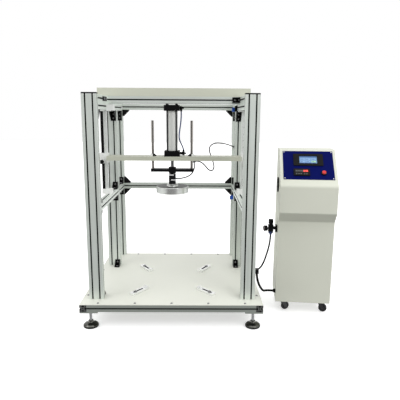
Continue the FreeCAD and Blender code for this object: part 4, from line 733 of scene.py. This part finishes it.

# regulator: gauge dial with ticks and needle, rim
gdir = Vector((-0.94, -0.34, 0)).normalized()
GA = CAB @ Matrix.Translation(Vector((-38 - 15, 84, 512)) * MM) @ Vector((0, 0, 1)).rotation_difference(gdir).to_matrix().to_4x4()
M_DIAL = plastic("white_dial", (0.82, 0.83, 0.82), 0.35, 900, 0.01, 0.02)
M_GLASS = Mat("gauge_glass", (0.9, 0.95, 0.95), 0.03)
M_GLASS.b.inputs["Transmission Weight"].default_value = 1.0
M_GLASS.b.inputs["IOR"].default_value = 1.45
bm = bmesh.new()
add_lathe(bm, [(14.6, 24.0), (14.6, 24.3), (0, 24.3)], 40)
for k in range(28):
    a = math.radians(-135 + 10 * k)
    r0 = 10.4 if k % 3 else 9.2
    c, s = math.sin(a), math.cos(a)
    w = 0.22 if k % 3 else 0.4
    vs = [bm.verts.new((x * MM, y * MM, 24.36 * MM)) for x, y in
          ((c * r0 - s * w, s * r0 + c * w), (c * 12.8 - s * w, s * 12.8 + c * w), (c * 12.8 + s * w, s * 12.8 - c * w), (c * r0 + s * w, s * r0 - c * w))]
    bm.faces.new(vs).material_index = 1
for q in (((-1.0, -3.0), (1.0, -3.0), (0.25, 10.5), (-0.25, 10.5)),):
    a = math.radians(-40)
    vs = [bm.verts.new(((x * math.cos(a) - y * math.sin(a)) * MM, (x * math.sin(a) + y * math.cos(a)) * MM, 24.8 * MM)) for x, y in q]
    bm.faces.new(vs).material_index = 2
add_lathe(bm, [(1.8, 24.3), (1.8, 25.2), (0, 25.4)], 20, mi=1)
new_obj("gauge_dial", bm, M_BLACK, "machine", GA, mats=[M_BLACK, M_DIAL, M_RED])
bm = bmesh.new()
add_lathe(bm, [(14.7, 23.6), (17.2, 23.6), (17.5, 24.4), (17.2, 26.6), (16.2, 27.2), (14.9, 26.8), (14.7, 24.6)], 56, closed=True)
new_obj("gauge_rim", bm, M_BLACK, "machine", GA)

# ------------------------------------------------------------------ stage and light
floor_m = Mat("studio_floor", (0.93, 0.93, 0.93), 0.55)
g = floor_m.noise(1.5, 2)
floor_m.base(floor_m.mix(floor_m.remap(g, 0.3, 0.7, 0, 1), (0.925, 0.925, 0.925), (0.94, 0.94, 0.94)))
floor_m.b.inputs["Emission Color"].default_value = (1, 1, 1, 1)
floor_m.b.inputs["Emission Strength"].default_value = 0.45
bm = bmesh.new()
bmesh.ops.create_grid(bm, x_segments=1, y_segments=1, size=14)
me = bpy.data.meshes.new("studio_floor")
bm.to_mesh(me)
bm.free()
me.materials.append(floor_m.m)
floor = bpy.data.objects.new("studio_floor", me)
scene.collection.objects.link(floor)
floor.location = (0, 3.0, -0.0005)
floor.visible_diffuse = False
floor.visible_glossy = False
floor.visible_shadow = False

world = bpy.data.worlds.new("studio") if scene.world is None else scene.world
scene.world = world
world.use_nodes = True
wt = world.node_tree
bg = wt.nodes["Background"]
bg.inputs["Color"].default_value = (1.0, 1.0, 1.0, 1)
# soft boxes at both sides and above, a calmer front, a white backdrop all round
wc = wt.nodes.new("ShaderNodeTexCoord")
ws = wt.nodes.new("ShaderNodeSeparateXYZ")
wt.links.new(wc.outputs["Generated"], ws.inputs[0])


def wrange(src, a, b, c, d):
    n = wt.nodes.new("ShaderNodeMapRange")
    n.interpolation_type = "SMOOTHSTEP"
    for k, x in zip(("From Min", "From Max", "To Min", "To Max"), (a, b, c, d)):
        n.inputs[k].default_value = x
    wt.links.new(src, n.inputs["Value"])
    return n.outputs["Result"]


def wmath(op, a, b):
    n = wt.nodes.new("ShaderNodeMath")
    n.operation = op
    for i, v in enumerate((a, b)):
        if isinstance(v, (int, float)):
            n.inputs[i].default_value = v
        else:
            wt.links.new(v, n.inputs[i])
    return n.outputs[0]


FRONT, LOW = 0.335, 0.28
w_right = wrange(ws.outputs[0], 0.35, 0.85, FRONT, 0.85)
w_left = wrange(ws.outputs[0], -0.9, -0.4, 0.5, FRONT)
w_back = wrange(ws.outputs[1], 0.0, 0.6, FRONT, 0.95)
w_top = wrange(ws.outputs[2], 0.15, 0.8, FRONT, 1.05)
w_up = wmath("MAXIMUM", wmath("MAXIMUM", w_right, w_left), wmath("MAXIMUM", w_back, w_top))
# a narrow bright band low on both sides, for the edges of turned and drawn metal
w_low = wmath("MULTIPLY", wrange(ws.outputs[2], -0.34, -0.2, 0.0, 1.0), wrange(ws.outputs[2], -0.02, 0.12, 1.0, 0.0))
w_band = wmath("MULTIPLY", w_low, wrange(wmath("ABSOLUTE", ws.outputs[0], 0.0), 0.62, 0.82, 0.0, 1.5))
w_up = wmath("ADD", w_up, w_band)
w_f = wrange(ws.outputs[2], -0.55, -0.12, 0.0, 1.0)
w_v = wmath("ADD", wmath("MULTIPLY", wmath("SUBTRACT", w_up, LOW), w_f), LOW)
w_path = wt.nodes.new("ShaderNodeLightPath")
w_cam = w_path.outputs["Is Camera Ray"]
w_fin = wmath("ADD", wmath("MULTIPLY", w_v, wmath("SUBTRACT", 1.0, w_cam)), w_cam)
wt.links.new(w_fin, bg.inputs["Strength"])


def area(name, loc, target, size, power, col=(1, 1, 1), size_y=None):
    l = bpy.data.lights.new(name, "AREA")
    l.shape = "RECTANGLE"
    l.size = size
    l.size_y = size_y or size
    l.energy = power
    l.color = col
    o = bpy.data.objects.new(name, l)
    scene.collection.objects.link(o)
    o.location = loc
    d = Vector(target) - Vector(loc)
    o.rotation_mode = "QUATERNION"
    o.rotation_quaternion = d.to_track_quat("-Z", "Y")
    return o


area("key", (2.1, -3.1, 2.8), (0, 0, 0.7), 1.8, 46)
area("fill", (-2.9, -1.8, 2.2), (-0.2, 0, 0.6), 2.0, 24)
sun = bpy.data.lights.new("overhead", "SUN")
sun.energy = 0.5
sun.angle = math.radians(70)
so = bpy.data.objects.new("overhead", sun)
scene.collection.objects.link(so)
so.location = (0, 0, 4)
so.rotation_euler = (math.radians(12), 0, 0)

scene.view_settings.view_transform = "Standard"
scene.view_settings.look = "None"
scene.view_settings.exposure = 0.0
